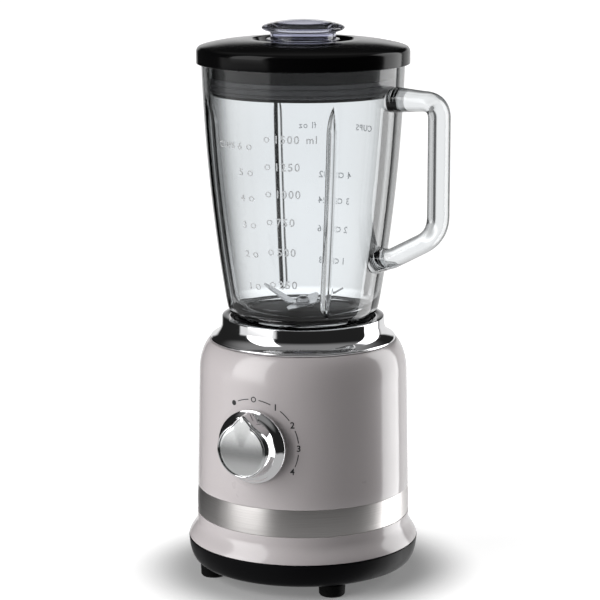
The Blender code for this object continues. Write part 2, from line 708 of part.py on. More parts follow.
def glass_jug():
    """Thick glass jug with four inner ridges and its handle."""
    heights = [JUG_RIM_HEIGHT - 2.0, 340.0, 300.0, 260.0, 225.0, JUG_FOOT_HEIGHT]
    outer = [(JUG_RIM_RADIUS - GLASS, JUG_RIM_HEIGHT - 1.0), (JUG_RIM_RADIUS - GLASS / 2, JUG_RIM_HEIGHT),
             (JUG_RIM_RADIUS - 0.8, JUG_RIM_HEIGHT - 0.6)]
    outer += [(jug_radius(z), z) for z in heights]
    outer += bend((55.3, 197.6), (53.8, 191.7), (47.5, 191.5), 3)
    outer += [(NECK_RADIUS, 190.6), (NECK_RADIUS, NECK_BOTTOM)]
    inner = [(NECK_RADIUS - 3.9, NECK_BOTTOM), (NECK_RADIUS - 3.9, 194.0)]
    inner += bend((42.5, 196.6), (50.4, 197.5), (jug_radius(212.0) - GLASS, 212.0), 3)
    inner += [(jug_radius(z) - GLASS, z) for z in heights[3:0:-1]]
    piece = turned("glass_jug", outer + inner, FINE)
    corners = [(69.6, HANDLE_TOP), (HANDLE_REACH, HANDLE_TOP), (HANDLE_REACH, 258.6),
               (72.0, 239.2), (59.4, 236.7)]
    path = rounded_path(corners, [11.0, 22.0, 8.0])
    handle = tube("handle_bar", [(x, 0.0, z) for x, z in path], HANDLE_HALF_DEPTH, resolution=4)
    handle.data.transform(Matrix.Diagonal((1.0, HANDLE_HALF_WIDTH / HANDLE_HALF_DEPTH, 1.0, 1.0)))
    join(piece, handle)
    for i in range(4):
        radial = [(jug_radius(z) - GLASS + 0.6, z) for z in (203.0, 260.0, 300.0, 351.0)]
        ridge = tube(f"ridge_{i + 1}", [(r, 0.0, z) for r, z in radial], RIDGE_RADIUS)
        ridge.rotation_euler = (0.0, 0.0, math.radians(45 + 90 * i))
        join(piece, ridge)
    return piece


def jug_base_ring():
    """Black ring that screws on the jug's neck and clamps the blade unit."""
    profile = [(NECK_RADIUS + 0.4, 190.0), (50.4, 190.0), (50.4, SEAT_FLOOR + GAP),
               (36.0, SEAT_FLOOR + GAP), (36.0, 173.6),
               (NECK_RADIUS + 0.4, 173.6)]
    return turned("jug_base_ring", profile, FINE)


def jug_gasket():
    inside = NECK_RADIUS - 3.8
    profile = [(inside, 178.1), (NECK_RADIUS - 0.1, 178.1), (NECK_RADIUS - 0.1, 176.7), (inside, 176.7)]
    return turned("jug_gasket", profile, FINE)


def blade_carrier():
    """Inverted cup that closes the jug and carries the blade bush."""
    outer = [(8.6, 197.6), (34.0, 195.9), (38.8, 194.4), (40.1, 191.0), (40.1, 176.4),
             (NECK_RADIUS - 0.2, 176.4), (NECK_RADIUS - 0.2, 173.9)]
    inner = [(37.4, 173.9), (37.4, 190.0), (34.0, 192.4), (8.6, 192.4)]
    return turned("blade_carrier", outer + inner, FINE)


def blade_bush():
    inner = SHAFT_RADIUS + GAP
    profile = [(inner, 198.2), (8.3, 198.2), (8.3, 192.0), (10.4, 192.0), (10.4, 188.0), (inner, 188.0)]
    return turned("blade_bush", profile, COARSE)


# --- Blades: what the jug's shaft turns ---------------------------------------------

def blade_shaft():
    profile = [(0.0, 203.4), (2.2, 203.4), (2.4, 203.0), (2.4, 198.6), (SHAFT_RADIUS, 198.6),
               (SHAFT_RADIUS, 187.0), (2.4, 187.0), (2.4, 185.4), (0.0, 185.4)]
    return turned("blade_shaft", profile, 12)


def bent_blade(name, reach, width, bottom, rise, start, degrees):
    """Two-pronged blade cut from sheet: flat in the middle, its prongs bent up."""
    half = width / 2
    stations = [(-reach, -0.15, 0.05), (-reach * 0.85, -0.55, 0.5), (-start, -1.0, 1.0),
                (start, -1.0, 1.0), (reach * 0.85, -0.5, 0.55), (reach, -0.05, 0.15)]
    points, faces = [], []
    for x, left, right in stations:
        height = bottom + rise * max(abs(x) - start, 0.0) / (reach - start)
        points += [(x * MM, left * half * MM, height * MM), (x * MM, right * half * MM, height * MM)]
    for i in range(0, len(points) - 2, 2):
        faces.append((i, i + 2, i + 3, i + 1))
    mesh = bpy.data.meshes.new(name)
    mesh.from_pydata(points, [], faces)
    piece = mesh_object(name, mesh)
    sheet = piece.modifiers.new("sheet", "SOLIDIFY")
    sheet.thickness = BLADE_THICKNESS * MM
    sheet.offset = 1.0
    cut(piece, pin_hole(f"{name}_hole", 2.8, bottom - 5.0, bottom + 5.0))
    piece.rotation_euler = (0.0, 0.0, math.radians(degrees))
    return piece


def blade_lower():
    return bent_blade("blade_lower", 35.0, 13.0, BLADE_HEIGHT, 2.0, 12.0, -80)


def blade_upper():
    return bent_blade("blade_upper", 30.5, 12.0, BLADE_HEIGHT + 1.5, 12.5, 9.0, 10)


def blade_nut():
    """Domed cap nut on top of the blades."""
    profile = [(0.0, 206.6), (2.6, 206.2), (4.4, 204.8), (5.4, 201.9), (2.7, 201.9), (2.7, 203.8),
               (0.0, 203.8)]
    return turned("blade_nut", profile, 12)


def driven_coupling():
    """Socket under the jug that drops over the lobed driver."""
    roof = DRIVER_TOP + 0.9
    socket = extruded("driven_coupling", [circle(15.0, MEDIUM), drive_star(10.2, 1.6)],
                      176.0, roof + 0.5)
    hub = turned("coupling_top", [(2.8, 186.4), (8.0, 186.4), (15.0, 185.0), (15.0, roof), (2.8, roof)])
    return join(socket, hub)


# --- Lid and measuring cap ----------------------------------------------------------

def lid():
    """Black lid: rim, raised crown with a recess, filler tube and plug."""
    outer = [(24.4, 391.5), (27.4, 391.5), (27.9, 389.2), (34.6, 389.2), (36.6, 394.5),
             (60.8, 392.3), (72.0, 389.9)]
    outer += bend((74.0, 389.3), (LID_RADIUS, LID_EDGE), (LID_RADIUS, LID_EDGE - 3.5), 2)
    outer += [(LID_RADIUS, LID_BOTTOM), (75.2, LID_BOTTOM), (75.0, 380.2), (66.2, 380.2),
              (66.2, 367.6), (64.5, 367.6), (64.5, 357.0), (65.9, 357.0), (65.9, 355.2), (62.0, 355.2)]
    inner = [(62.0, 386.6), (26.9, 386.6), (26.9, 370.0), (24.4, 370.0)]
    return turned("lid", outer + inner, FINE)


def lid_seal():
    """Grey ring in the plug's groove, with two sealing lips."""
    inside, face, lip = 64.8, 66.2, 67.2
    profile = [(inside, 367.3), (face, 367.3), (lip, 363.6), (face, 362.4), (lip, 359.2),
               (face, 357.3), (inside, 357.3)]
    return turned("lid_seal", profile, FINE)


def measuring_cap():
    """Hollow cap with a grip disc; turned over it is a measuring cup."""
    outer = [(0.0, CAP_TOP), (13.0, CAP_TOP - 0.8), (23.0, CAP_TOP - 2.6)]
    outer += bend((28.4, 404.2), (CAP_RADIUS + 1.7, 402.3), (28.4, 400.3), 3)
    outer += [(CAP_NECK, 399.4), (CAP_NECK, 394.2), (26.6, 394.2), (26.6, 391.9),
              (CAP_NECK, 391.9), (CAP_NECK - 0.5, 372.0)]
    inner = [(CAP_NECK - 2.5, 372.0), (CAP_NECK - 2.0, 400.0), (CAP_NECK - 5.0, 403.0), (0.0, 405.4)]
    return turned("measuring_cap", outer + inner, 24)


# --- Assembly -----------------------------------------------------------------------

def body_empty(name, parent, location=(0.0, 0.0, 0.0)):
    empty = bpy.data.objects.new(name, None)
    bpy.context.scene.collection.objects.link(empty)
    empty.parent = parent
    empty.location = [value * MM for value in location]
    return empty


def add(piece, parent, spec):
    """Gives a piece its parent, collection and material."""
    piece.parent = parent
    piece.data.materials.clear()
    piece.data.materials.append(make_material(spec))
    if not piece.modifiers:
        piece.data.shade_smooth()
        piece.data.set_sharp_from_angle(angle=math.radians(35))
    bpy.context.scene.collection.objects.unlink(piece)
    PIECES.objects.link(piece)


def build_base(base):
    for make, spec in ((base_housing, PAINT), (trim_band, STEEL), (chrome_collar, CHROME),
                       (base_plate, BLACK), (cord_gland, BLACK), (jug_seat, BLACK),
                       (lower_bracket, IRON), (upper_bracket, IRON), (stator_core, IRON),
                       (speed_switch, BLACK)):
        add(make(), base, spec)
    add(bearing("lower_bearing", LOWER_BRACKET - 1.0, 7.0, 8.1), base, BRASS)
    add(bearing("upper_bearing", UPPER_BRACKET - 2.0, 8.0, 11.1), base, STEEL)
    for index in range(4):
        add(foot(index), base, RUBBER)
        add(base_screw(index), base, STEEL)
        add(motor_damper(index), base, RUBBER)
        add(motor_screw(index), base, STEEL)
    for index in range(2):
        add(motor_bolt(index), base, STEEL)
        add(field_coil(index), base, COPPER)
        add(brush_holder(index), base, BRASS)
        add(carbon_brush(index), base, CARBON)
        add(brush_spring(index), base, STEEL)


def build_group(parent, pieces):
    for make, spec in pieces:
        add(make(), parent, spec)


clear_scene()
PIECES = new_collection("countertop_blender")
HELPERS = new_collection("cutters")
machine = body_empty("machine", None, (AXIS_X, AXIS_Y, FOOT_REACH))
motor_axis = body_empty("motor_axis", machine)
dial_axis = body_empty("dial_axis", machine, (0.0, 0.0, DIAL_HEIGHT))
jug_body = body_empty("jug_body", machine)
blade_axis = body_empty("blade_axis", jug_body)
lid_body = body_empty("lid_body", jug_body)
cap_body = body_empty("cap_body", lid_body)

build_base(machine)
build_group(motor_axis, [(rotor_shaft, STEEL), (rotor_core, IRON), (armature_winding, COPPER),
                         (commutator, COPPER), (cooling_fan, BLACK), (drive_coupling, BLACK)])
build_group(dial_axis, [(knob, CHROME), (knob_face, SATIN), (switch_spindle, STEEL)])
build_group(jug_body, [(glass_jug, CLEAR), (jug_base_ring, BLACK), (jug_gasket, GREY_SEAL),
                       (blade_carrier, BLACK), (blade_bush, STEEL)])
build_group(blade_axis, [(blade_shaft, STEEL), (blade_lower, STEEL), (blade_upper, STEEL),
                         (blade_nut, STEEL), (driven_coupling, BLACK)])
build_group(lid_body, [(lid, GLOSS_BLACK), (lid_seal, GREY_SEAL)])
build_group(cap_body, [(measuring_cap, SMOKE)])
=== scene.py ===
"""Looks of the countertop blender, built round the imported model.

Outlines are in millimetres: radius from the drive axis, and height from a datum plane that lies
FOOT_REACH above the worktop. MM turns them into metres.
+Z is up, the dial faces -Y and the jug's handle points along +X.
"""
import math

import bmesh
import bpy
from mathutils import Matrix, Vector


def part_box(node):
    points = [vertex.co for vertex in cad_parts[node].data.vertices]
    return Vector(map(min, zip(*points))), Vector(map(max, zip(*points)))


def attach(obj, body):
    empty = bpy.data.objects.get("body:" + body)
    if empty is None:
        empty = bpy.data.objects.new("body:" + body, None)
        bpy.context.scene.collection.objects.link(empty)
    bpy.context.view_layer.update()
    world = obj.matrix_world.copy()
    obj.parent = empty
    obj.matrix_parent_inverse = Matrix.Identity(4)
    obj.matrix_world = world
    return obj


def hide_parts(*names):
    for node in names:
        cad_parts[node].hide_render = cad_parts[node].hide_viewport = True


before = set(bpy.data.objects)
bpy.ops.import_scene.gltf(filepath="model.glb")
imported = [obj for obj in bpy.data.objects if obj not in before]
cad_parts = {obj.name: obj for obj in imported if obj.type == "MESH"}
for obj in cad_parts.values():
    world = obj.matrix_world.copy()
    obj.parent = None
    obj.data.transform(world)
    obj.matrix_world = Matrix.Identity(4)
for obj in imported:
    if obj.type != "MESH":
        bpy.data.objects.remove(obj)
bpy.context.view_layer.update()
MM = 0.001
FOOT_REACH = 2.1                # how far the feet reach below the datum plane


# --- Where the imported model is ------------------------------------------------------

def node_mm(name):
    """A node's (lowest, highest) corners in millimetres from the axis and the datum plane."""
    low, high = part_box(name)
    return (low - AXIS) / MM, (high - AXIS) / MM


shaft_low, shaft_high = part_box("rotor_shaft")
AXIS = Vector(((shaft_low.x + shaft_high.x) / 2, (shaft_low.y + shaft_high.y) / 2, FOOT_REACH * MM))

BAND_BOTTOM, BAND_TOP = node_mm("trim_band")[0].z, node_mm("trim_band")[1].z
SKIRT_BOTTOM, HOUSING_TOP = 25.3, node_mm("base_housing")[1].z
SKIRT_RADIUS = node_mm("base_plate")[1].x
PLATE_BOTTOM = node_mm("base_plate")[0].z
COLLAR_BOTTOM, COLLAR_TOP = node_mm("chrome_collar")[0].z, node_mm("chrome_collar")[1].z
NECK_BOTTOM, JUG_RIM = node_mm("glass_jug")[0].z, node_mm("glass_jug")[1].z
CAP_TOP = node_mm("measuring_cap")[1].z
LID_RADIUS = node_mm("lid")[1].x
LID_BOTTOM = 376.9
KNOB_BACK, KNOB_FRONT = -node_mm("knob")[1].y, -node_mm("knob")[0].y
DIAL_HEIGHT = (node_mm("knob")[0].z + node_mm("knob")[1].z) / 2
FEET = [((low + high) / 2) for low, high in (node_mm(f"foot_{i}") for i in (1, 2, 3, 4))]

SKIRT_TOP, SKIRT_FLARE, SKIRT_HEIGHT = 38.6, 6.5, 14.8
BODY_FOOT, BODY_TOP = 78.9, 76.6
SHOULDER_START, SHOULDER_WIDTH, SHOULDER_RISE = 150.0, 14.6, 27.35
JUG_FOOT, JUG_FOOT_HEIGHT, JUG_RIM_RADIUS, JUG_BULGE, GLASS = 56.2, 202.5, 73.6, 3.1, 5.0
PULSE_ANGLE, SPEED_STEP = -30, 30          # degrees clockwise from off
FACE_RADIUS, TIP_RADIUS, TIP_ANGLE, FLANGE_RADIUS = 19.6, 25.2, 30.0, 26.9
ROUND = 160                     # steps round the large turned pieces


def body_radius(z):
    """The painted body: a slight taper, with the skirt's S-curve below."""
    share = max((z - SKIRT_TOP) / (SHOULDER_START - SKIRT_TOP), 0.0)
    drop = min(max((SKIRT_TOP - z) / SKIRT_HEIGHT, 0.0), 1.0)
    return BODY_FOOT + (BODY_TOP - BODY_FOOT) * share + SKIRT_FLARE * drop * drop * (3 - 2 * drop)


def jug_radius(z):
    """The glass wall's outside: straight from foot to rim, with a gentle bulge."""
    share = (z - JUG_FOOT_HEIGHT) / (JUG_RIM - JUG_FOOT_HEIGHT)
    return JUG_FOOT + (JUG_RIM_RADIUS - JUG_FOOT) * share + 4 * JUG_BULGE * share * (1 - share)


# --- Materials ----------------------------------------------------------------------

class Surface:
    """A node material on one Principled shader, with short calls for the patterns that feed it."""

    def __init__(self, name, colour, roughness, metallic=0.0, **sockets):
        self.material = bpy.data.materials.new(name)
        self.material.use_nodes = True
        self.tree = self.material.node_tree
        self.shader = self.tree.nodes["Principled BSDF"]
        self.shader.inputs["Base Color"].default_value = (*colour, 1.0)
        self.shader.inputs["Roughness"].default_value = roughness
        self.shader.inputs["Metallic"].default_value = metallic
        for socket, value in sockets.items():
            self.shader.inputs[socket.replace("_", " ")].default_value = value

    def node(self, kind, **settings):
        made = self.tree.nodes.new(kind)
        for key, value in settings.items():
            setattr(made, key, value)
        return made

    def link(self, source, target):
        self.tree.links.new(source, target)

    def position(self, scale=(1.0, 1.0, 1.0)):
        """Object coordinates from the drive axis, stretched by scale."""
        where = self.node("ShaderNodeTexCoord")
        mapping = self.node("ShaderNodeMapping")
        mapping.inputs["Location"].default_value = [-a * s for a, s in zip(AXIS, scale)]
        mapping.inputs["Scale"].default_value = scale
        self.link(where.outputs["Object"], mapping.inputs["Vector"])
        return mapping.outputs["Vector"]

    def round_axis(self, around, up):
        """Coordinates that run round the drive axis and up it, for brushing and brushed grain."""
        split = self.node("ShaderNodeSeparateXYZ")
        self.link(self.position(), split.inputs["Vector"])
        turn = self.node("ShaderNodeMath", operation="ARCTAN2")
        self.link(split.outputs["Y"], turn.inputs[0])
        self.link(split.outputs["X"], turn.inputs[1])
        join = self.node("ShaderNodeCombineXYZ")
        for source, target, factor in ((turn.outputs[0], "X", around), (split.outputs["Z"], "Y", up)):
            scaled = self.node("ShaderNodeMath", operation="MULTIPLY")
            scaled.inputs[1].default_value = factor
            self.link(source, scaled.inputs[0])
            self.link(scaled.outputs[0], join.inputs[target])
        return join.outputs["Vector"]

    def noise(self, vector, scale, detail=4.0, rough=0.6):
        made = self.node("ShaderNodeTexNoise")
        made.inputs["Scale"].default_value = scale
        made.inputs["Detail"].default_value = detail
        made.inputs["Roughness"].default_value = rough
        self.link(vector, made.inputs["Vector"])
        return made.outputs["Fac"]

    def spread(self, factor, low, high):
        """A factor of 0 to 1 as values from low to high, taken from its middle part."""
        ramp = self.node("ShaderNodeMapRange")
        for key, value in (("From Min", 0.3), ("From Max", 0.7), ("To Min", low), ("To Max", high)):
            ramp.inputs[key].default_value = value
        self.link(factor, ramp.inputs["Value"])
        return ramp.outputs["Result"]

    def roughen(self, factor, low, high):
        self.link(self.spread(factor, low, high), self.shader.inputs["Roughness"])
        return self

    def tint(self, factor, first, second):
        """Base colour between two colours as factor goes from 0 to 1."""
        mix = self.node("ShaderNodeMix", data_type="RGBA")
        mix.inputs["A"].default_value = (*first, 1.0)
        mix.inputs["B"].default_value = (*second, 1.0)
        self.link(self.spread(factor, 0.0, 1.0), mix.inputs["Factor"])
        self.link(mix.outputs["Result"], self.shader.inputs["Base Color"])
        return self

    def bump(self, factor, depth, strength=1.0):
        """Relief of that depth in metres."""
        made = self.node("ShaderNodeBump")
        made.inputs["Distance"].default_value = depth
        made.inputs["Strength"].default_value = strength
        self.link(factor, made.inputs["Height"])
        self.link(made.outputs["Normal"], self.shader.inputs["Normal"])
        return self


def pearl_paint():
    """Gloss pearl lacquer: fine flakes under a smooth clear coat with faint orange peel."""
    s = Surface("pearl_paint", (0.57, 0.53, 0.535), 0.32, Coat_Weight=0.8, Coat_Roughness=0.04)
    s.tint(s.noise(s.position(), 2600.0, 2.0), (0.55, 0.51, 0.515), (0.59, 0.55, 0.555))
    s.roughen(s.noise(s.position(), 30.0), 0.27, 0.36)
    return s.bump(s.noise(s.position(), 420.0, 2.0), 0.000006).material


def brushed_steel():
    """Steel brushed round the body: long fine streaks."""
    s = Surface("brushed_steel", (0.56, 0.55, 0.53), 0.3, 1.0, Anisotropic=0.8, Anisotropic_Rotation=0.25)
    around = s.node("ShaderNodeTangent", direction_type="RADIAL", axis="Z")
    s.link(around.outputs["Tangent"], s.shader.inputs["Tangent"])
    streaks = s.noise(s.round_axis(1.6, 5200.0), 1.0, 3.0)
    s.tint(streaks, (0.52, 0.5, 0.49), (0.72, 0.7, 0.69))
    s.roughen(streaks, 0.34, 0.46)
    return s.bump(streaks, 0.00001, 0.6).material


def polished_chrome():
    s = Surface("polished_chrome", (0.86, 0.86, 0.87), 0.05, 1.0)
    s.roughen(s.noise(s.position(), 40.0, 5.0), 0.025, 0.08)
    return s.bump(s.noise(s.position(), 90.0, 1.0), 0.000004).material


def satin_metal():
    """Knob face: satin metal with a fine turned grain."""
    s = Surface("satin_metal", (0.82, 0.83, 0.83), 0.18, 1.0)
    grain = s.noise(s.position((1.0, 1.0, 26.0)), 900.0, 2.0)
    s.roughen(grain, 0.14, 0.24)
    return s.bump(grain, 0.000004, 0.5).material


def moulded_black(name, colour, roughness, grain, depth):
    """Moulded plastic or rubber with a fine pebbled surface."""
    s = Surface(name, colour, roughness, Specular_IOR_Level=0.06)
    pebbles = s.noise(s.position(), grain, 3.0)
    s.roughen(s.noise(s.position(), 60.0), roughness - 0.05, roughness + 0.07)
    s.tint(s.noise(s.position(), 18.0), colour, tuple(c * 1.5 for c in colour))
    return s.bump(pebbles, depth).material


def gloss_black():
    s = Surface("gloss_black", (0.002, 0.002, 0.0022), 0.12, Specular_IOR_Level=0.15)
    s.roughen(s.noise(s.position(), 35.0, 5.0), 0.09, 0.17)
    return s.bump(s.noise(s.position(), 260.0, 2.0), 0.000005).material


def clear_glass():
    """Pressed glass: slow waves in the surface, and painted shade that darkens its colour towards grazing
    angles so its edges go dark.
    """
    s = Surface("clear_glass", (1.0, 1.0, 1.0), 0.0, Transmission_Weight=1.0, IOR=1.5)
    # painted shade: the colour goes from the glass's own pale tint where the surface faces the view to near
    # black at grazing angles, standing in for the dark room seen in its edges
    facing = s.node("ShaderNodeLayerWeight")
    facing.inputs["Blend"].default_value = 0.5
    ramp = s.node("ShaderNodeValToRGB")
    painted_shade_stops = ramp.color_ramp.elements
    painted_shade_stops[0].position, painted_shade_stops[0].color = 0.0, (0.955, 0.98, 0.998, 1.0)
    painted_shade_stops[1].position, painted_shade_stops[1].color = 1.0, (0.02, 0.025, 0.025, 1.0)
    for position, value in ((0.26, 0.94), (0.4, 0.72), (0.56, 0.36), (0.76, 0.1)):
        painted_shade_stops.new(position).color = (value * 0.98, value, value * 1.01, 1.0)
    s.link(facing.outputs["Facing"], ramp.inputs["Fac"])
    s.link(ramp.outputs["Color"], s.shader.inputs["Base Color"])
    return s.bump(s.noise(s.position((1.0, 1.0, 0.5)), 28.0, 1.0), 0.00015, 0.3).material


def embossed_glass():
    """The raised scale on the jug: the same glass with a frosted face."""
    s = Surface("embossed_glass", (0.86, 0.87, 0.88), 0.3, Transmission_Weight=0.6, IOR=1.45)
    return s.roughen(s.noise(s.position(), 1500.0), 0.22, 0.42).material


def smoke_plastic():
    s = Surface("smoke_plastic", (0.66, 0.67, 0.78), 0.03, Transmission_Weight=1.0, IOR=1.45)
    s.tint(s.noise(s.position(), 12.0, 1.0), (0.64, 0.65, 0.77), (0.7, 0.71, 0.82))
    return s.bump(s.noise(s.position(), 60.0, 1.0), 0.00001).material


def seal_rubber():
    """Grey silicone."""
    s = Surface("seal_rubber", (0.10, 0.10, 0.105), 0.35)
    s.tint(s.noise(s.position(), 40.0), (0.085, 0.085, 0.09), (0.12, 0.12, 0.125))
    s.roughen(s.noise(s.position(), 300.0), 0.28, 0.42)
    return s.material


def ground_steel(name="ground_steel", colour=(0.62, 0.62, 0.63), low=0.16, high=0.3,
                 length=(60.0, 1400.0, 300.0)):
    """Ground or turned steel with fine scratches."""
    s = Surface(name, colour, low, 1.0)
    scratches = s.noise(s.position(length), 1.0, 4.0)
    s.tint(scratches, tuple(c * 0.86 for c in colour), tuple(min(c * 1.1, 1.0) for c in colour))
    s.roughen(scratches, low, high)
    return s.bump(scratches, 0.000006, 0.5).material


def stacked_laminations():
    """Thin iron sheets stacked along Z, seen as fine lines."""
    s = Surface("stacked_laminations", (0.28, 0.28, 0.29), 0.45, 1.0)
    lines = s.noise(s.position((0.02, 0.02, 1.0)), 2000.0, 0.0)
    s.tint(lines, (0.16, 0.16, 0.17), (0.36, 0.36, 0.37))
    return s.bump(lines, 0.00004).material


def wound_copper():
    """Enamelled wire laid side by side."""
    s = Surface("wound_copper", (0.72, 0.33, 0.14), 0.32, 1.0)
    wires = s.noise(s.position((0.15, 1.0, 1.0)), 1500.0, 1.0)
    s.tint(wires, (0.42, 0.16, 0.07), (0.85, 0.42, 0.2))
    return s.bump(wires, 0.00005).material


def printed_ink():
    s = Surface("printed_ink", (0.02, 0.02, 0.022), 0.4)
    return s.roughen(s.noise(s.position(), 900.0), 0.32, 0.5).material


PAINT = pearl_paint()
STEEL_BAND = brushed_steel()
CHROME = polished_chrome()
SATIN = satin_metal()
BLACK = moulded_black("black_plastic", (0.0025, 0.0025, 0.003), 0.4, 900.0, 0.00002)
RUBBER = moulded_black("foot_rubber", (0.003, 0.003, 0.003), 0.72, 700.0, 0.00005)
LID_BLACK = gloss_black()
CLEAR = clear_glass()
EMBOSSED = embossed_glass()
SMOKE = smoke_plastic()
SEAL = seal_rubber()
BLADE_STEEL = ground_steel()
PLAIN_STEEL = ground_steel("turned_steel", (0.52, 0.52, 0.53), 0.22, 0.4, (900.0, 900.0, 120.0))
BRASS = ground_steel("sheet_brass", (0.74, 0.55, 0.27), 0.25, 0.42, (300.0, 300.0, 300.0))
IRON = stacked_laminations()
COPPER = wound_copper()
CARBON = moulded_black("pressed_carbon", (0.04, 0.04, 0.042), 0.6, 1600.0, 0.00003)
INK = printed_ink()


# --- Mesh helpers -------------------------------------------------------------------

def arc(x, z, rx, rz, start, end, steps):
    """Points of an elliptical arc, its angles in degrees."""
    angles = [math.radians(start + (end - start) * i / steps) for i in range(steps + 1)]
    return [(x + rx * math.cos(a), z + rz * math.sin(a)) for a in angles]


def bend(start, control, end, steps=8):
    """Points of a quadratic curve."""
    points = []
    for i in range(steps + 1):
        t = i / steps
        points.append(tuple((1 - t) ** 2 * a + 2 * t * (1 - t) * b + t * t * c
                            for a, b, c in zip(start, control, end)))
    return points


def softened(outline, steps=4):
    """The outline with each (x, y, radius) corner replaced by a small round."""
    points = []
    for i, corner in enumerate(outline):
        if len(corner) < 3:
            points.append(corner)
            continue
        here = Vector(corner[:2])
        before = Vector(outline[i - 1][:2]) - here
        after = Vector(outline[(i + 1) % len(outline)][:2]) - here
        reach = min(corner[2], before.length * 0.45, after.length * 0.45)
        points += bend(here + before.normalized() * reach, here, here + after.normalized() * reach, steps)
    return points


def finished(name, work, body, material, replaces=(), sharp=30.0):
    """Turns a bmesh into a piece that rides on a body and stands for its CAD nodes."""
    bmesh.ops.remove_doubles(work, verts=work.verts, dist=0.000001)
    bmesh.ops.recalc_face_normals(work, faces=work.faces)
    mesh = bpy.data.meshes.new(name)
    work.to_mesh(mesh)
    work.free()
    mesh.shade_smooth()
    mesh.set_sharp_from_angle(angle=math.radians(sharp))
    return placed(name, mesh, body, material, replaces)


def placed(name, mesh, body, material, replaces=()):
    piece = bpy.data.objects.new(name, mesh)
    bpy.context.scene.collection.objects.link(piece)
    mesh.materials.clear()
    mesh.materials.append(material)
    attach(piece, body)
    if replaces:
        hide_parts(*replaces)
    return piece


def lathe(work, outline, steps, place):
    """Adds a closed outline of (radius, height) points turned round Z, then placed by a matrix."""
    rings = []
    for radius, height in outline:
        if abs(radius) < 0.001:
            rings.append([work.verts.new(place @ Vector((0.0, 0.0, height * MM)))])
            continue
        turn = [math.tau * i / steps for i in range(steps)]
        rings.append([work.verts.new(place @ Vector((radius * math.cos(a) * MM, radius * math.sin(a) * MM,
                                                     height * MM))) for a in turn])
    for first, second in zip(rings, rings[1:] + rings[:1]):
        for i in range(steps):
            j = (i + 1) % steps
            corners = [first[i % len(first)], first[j % len(first)],
                       second[j % len(second)], second[i % len(second)]]
            unique = list(dict.fromkeys(corners))
            if len(unique) > 2:
                work.faces.new(unique)


def turned(name, outline, body, material, replaces=(), steps=ROUND, place=None, corner=4):
    work = bmesh.new()
    lathe(work, softened(outline, corner), steps, place or Matrix.Translation(AXIS))
    return finished(name, work, body, material, replaces)


def forward(distance=0.0, height=0.0, rear=False):
    """Places a piece turned round Z so that its +Z end faces -Y, or +Y at the rear."""
    quarter = Matrix.Rotation(math.radians(-90 if rear else 90), 4, "X")
    return Matrix.Translation(AXIS + Vector((0.0, distance * MM, height * MM))) @ quarter


def evaluated_mesh(piece):
    graph = bpy.context.evaluated_depsgraph_get()
    return bpy.data.meshes.new_from_object(piece.evaluated_get(graph))


def with_boolean(piece, tool_mesh, operation):
    """Joins or cuts a helper mesh with the piece's own, and keeps the result."""
    tool = bpy.data.objects.new("helper", tool_mesh)
    bpy.context.scene.collection.objects.link(tool)
    change = piece.modifiers.new("change", "BOOLEAN")
    change.operation = operation
    change.object = tool
    bpy.context.view_layer.update()
    result = evaluated_mesh(piece)
    piece.modifiers.clear()
    piece.data = result
    bpy.data.objects.remove(tool)
    return piece


def pipe_mesh(path, half_depth, half_width, flare, sides=40):
    """A bar of oval section swept along a path of (x, z) points in the plane y = 0."""
    work = bmesh.new()
    rings = []
    lengths = [0.0]
    for a, b in zip(path, path[1:]):
        lengths.append(lengths[-1] + math.dist(a, b))
    for i, (x, z) in enumerate(path):
        before, after = path[max(i - 1, 0)], path[min(i + 1, len(path) - 1)]
        along = Vector((after[0] - before[0], 0.0, after[1] - before[1])).normalized()
        across = Vector((along.z, 0.0, -along.x))
        size = 1.0 + flare(lengths[i]) + flare(lengths[-1] - lengths[i])
        ring = []
        for k in range(sides):
            a = math.tau * k / sides
            offset = (across * (half_depth * size * math.cos(a))
                      + Vector((0.0, half_width * size * math.sin(a), 0.0)))
            ring.append(work.verts.new((Vector((x, 0.0, z)) + offset) * MM + AXIS))
        rings.append(ring)
    for first, second in zip(rings, rings[1:]):
        for k in range(sides):
            work.faces.new((first[k], first[(k + 1) % sides], second[(k + 1) % sides], second[k]))
    work.faces.new(rings[0])
    work.faces.new(rings[-1])
    bmesh.ops.recalc_face_normals(work, faces=work.faces)
    mesh = bpy.data.meshes.new("bar")
    work.to_mesh(mesh)
    work.free()
    return mesh


def rounded_path(corners, radii, steps=14):
    """A path through (x, z) corners, each inner corner rounded to its radius."""
    path = [corners[0]]
    for i, radius in enumerate(radii, start=1):
        here = Vector(corners[i])
        before = (Vector(corners[i - 1]) - here).normalized()
        after = (Vector(corners[i + 1]) - here).normalized()
        reach = radius / math.tan(before.angle(after) / 2)
        path += bend(here + before * reach, here, here + after * reach, steps)
    path.append(corners[-1])
    return [tuple(p) for p in path]


# --- Base ---------------------------------------------------------------------------

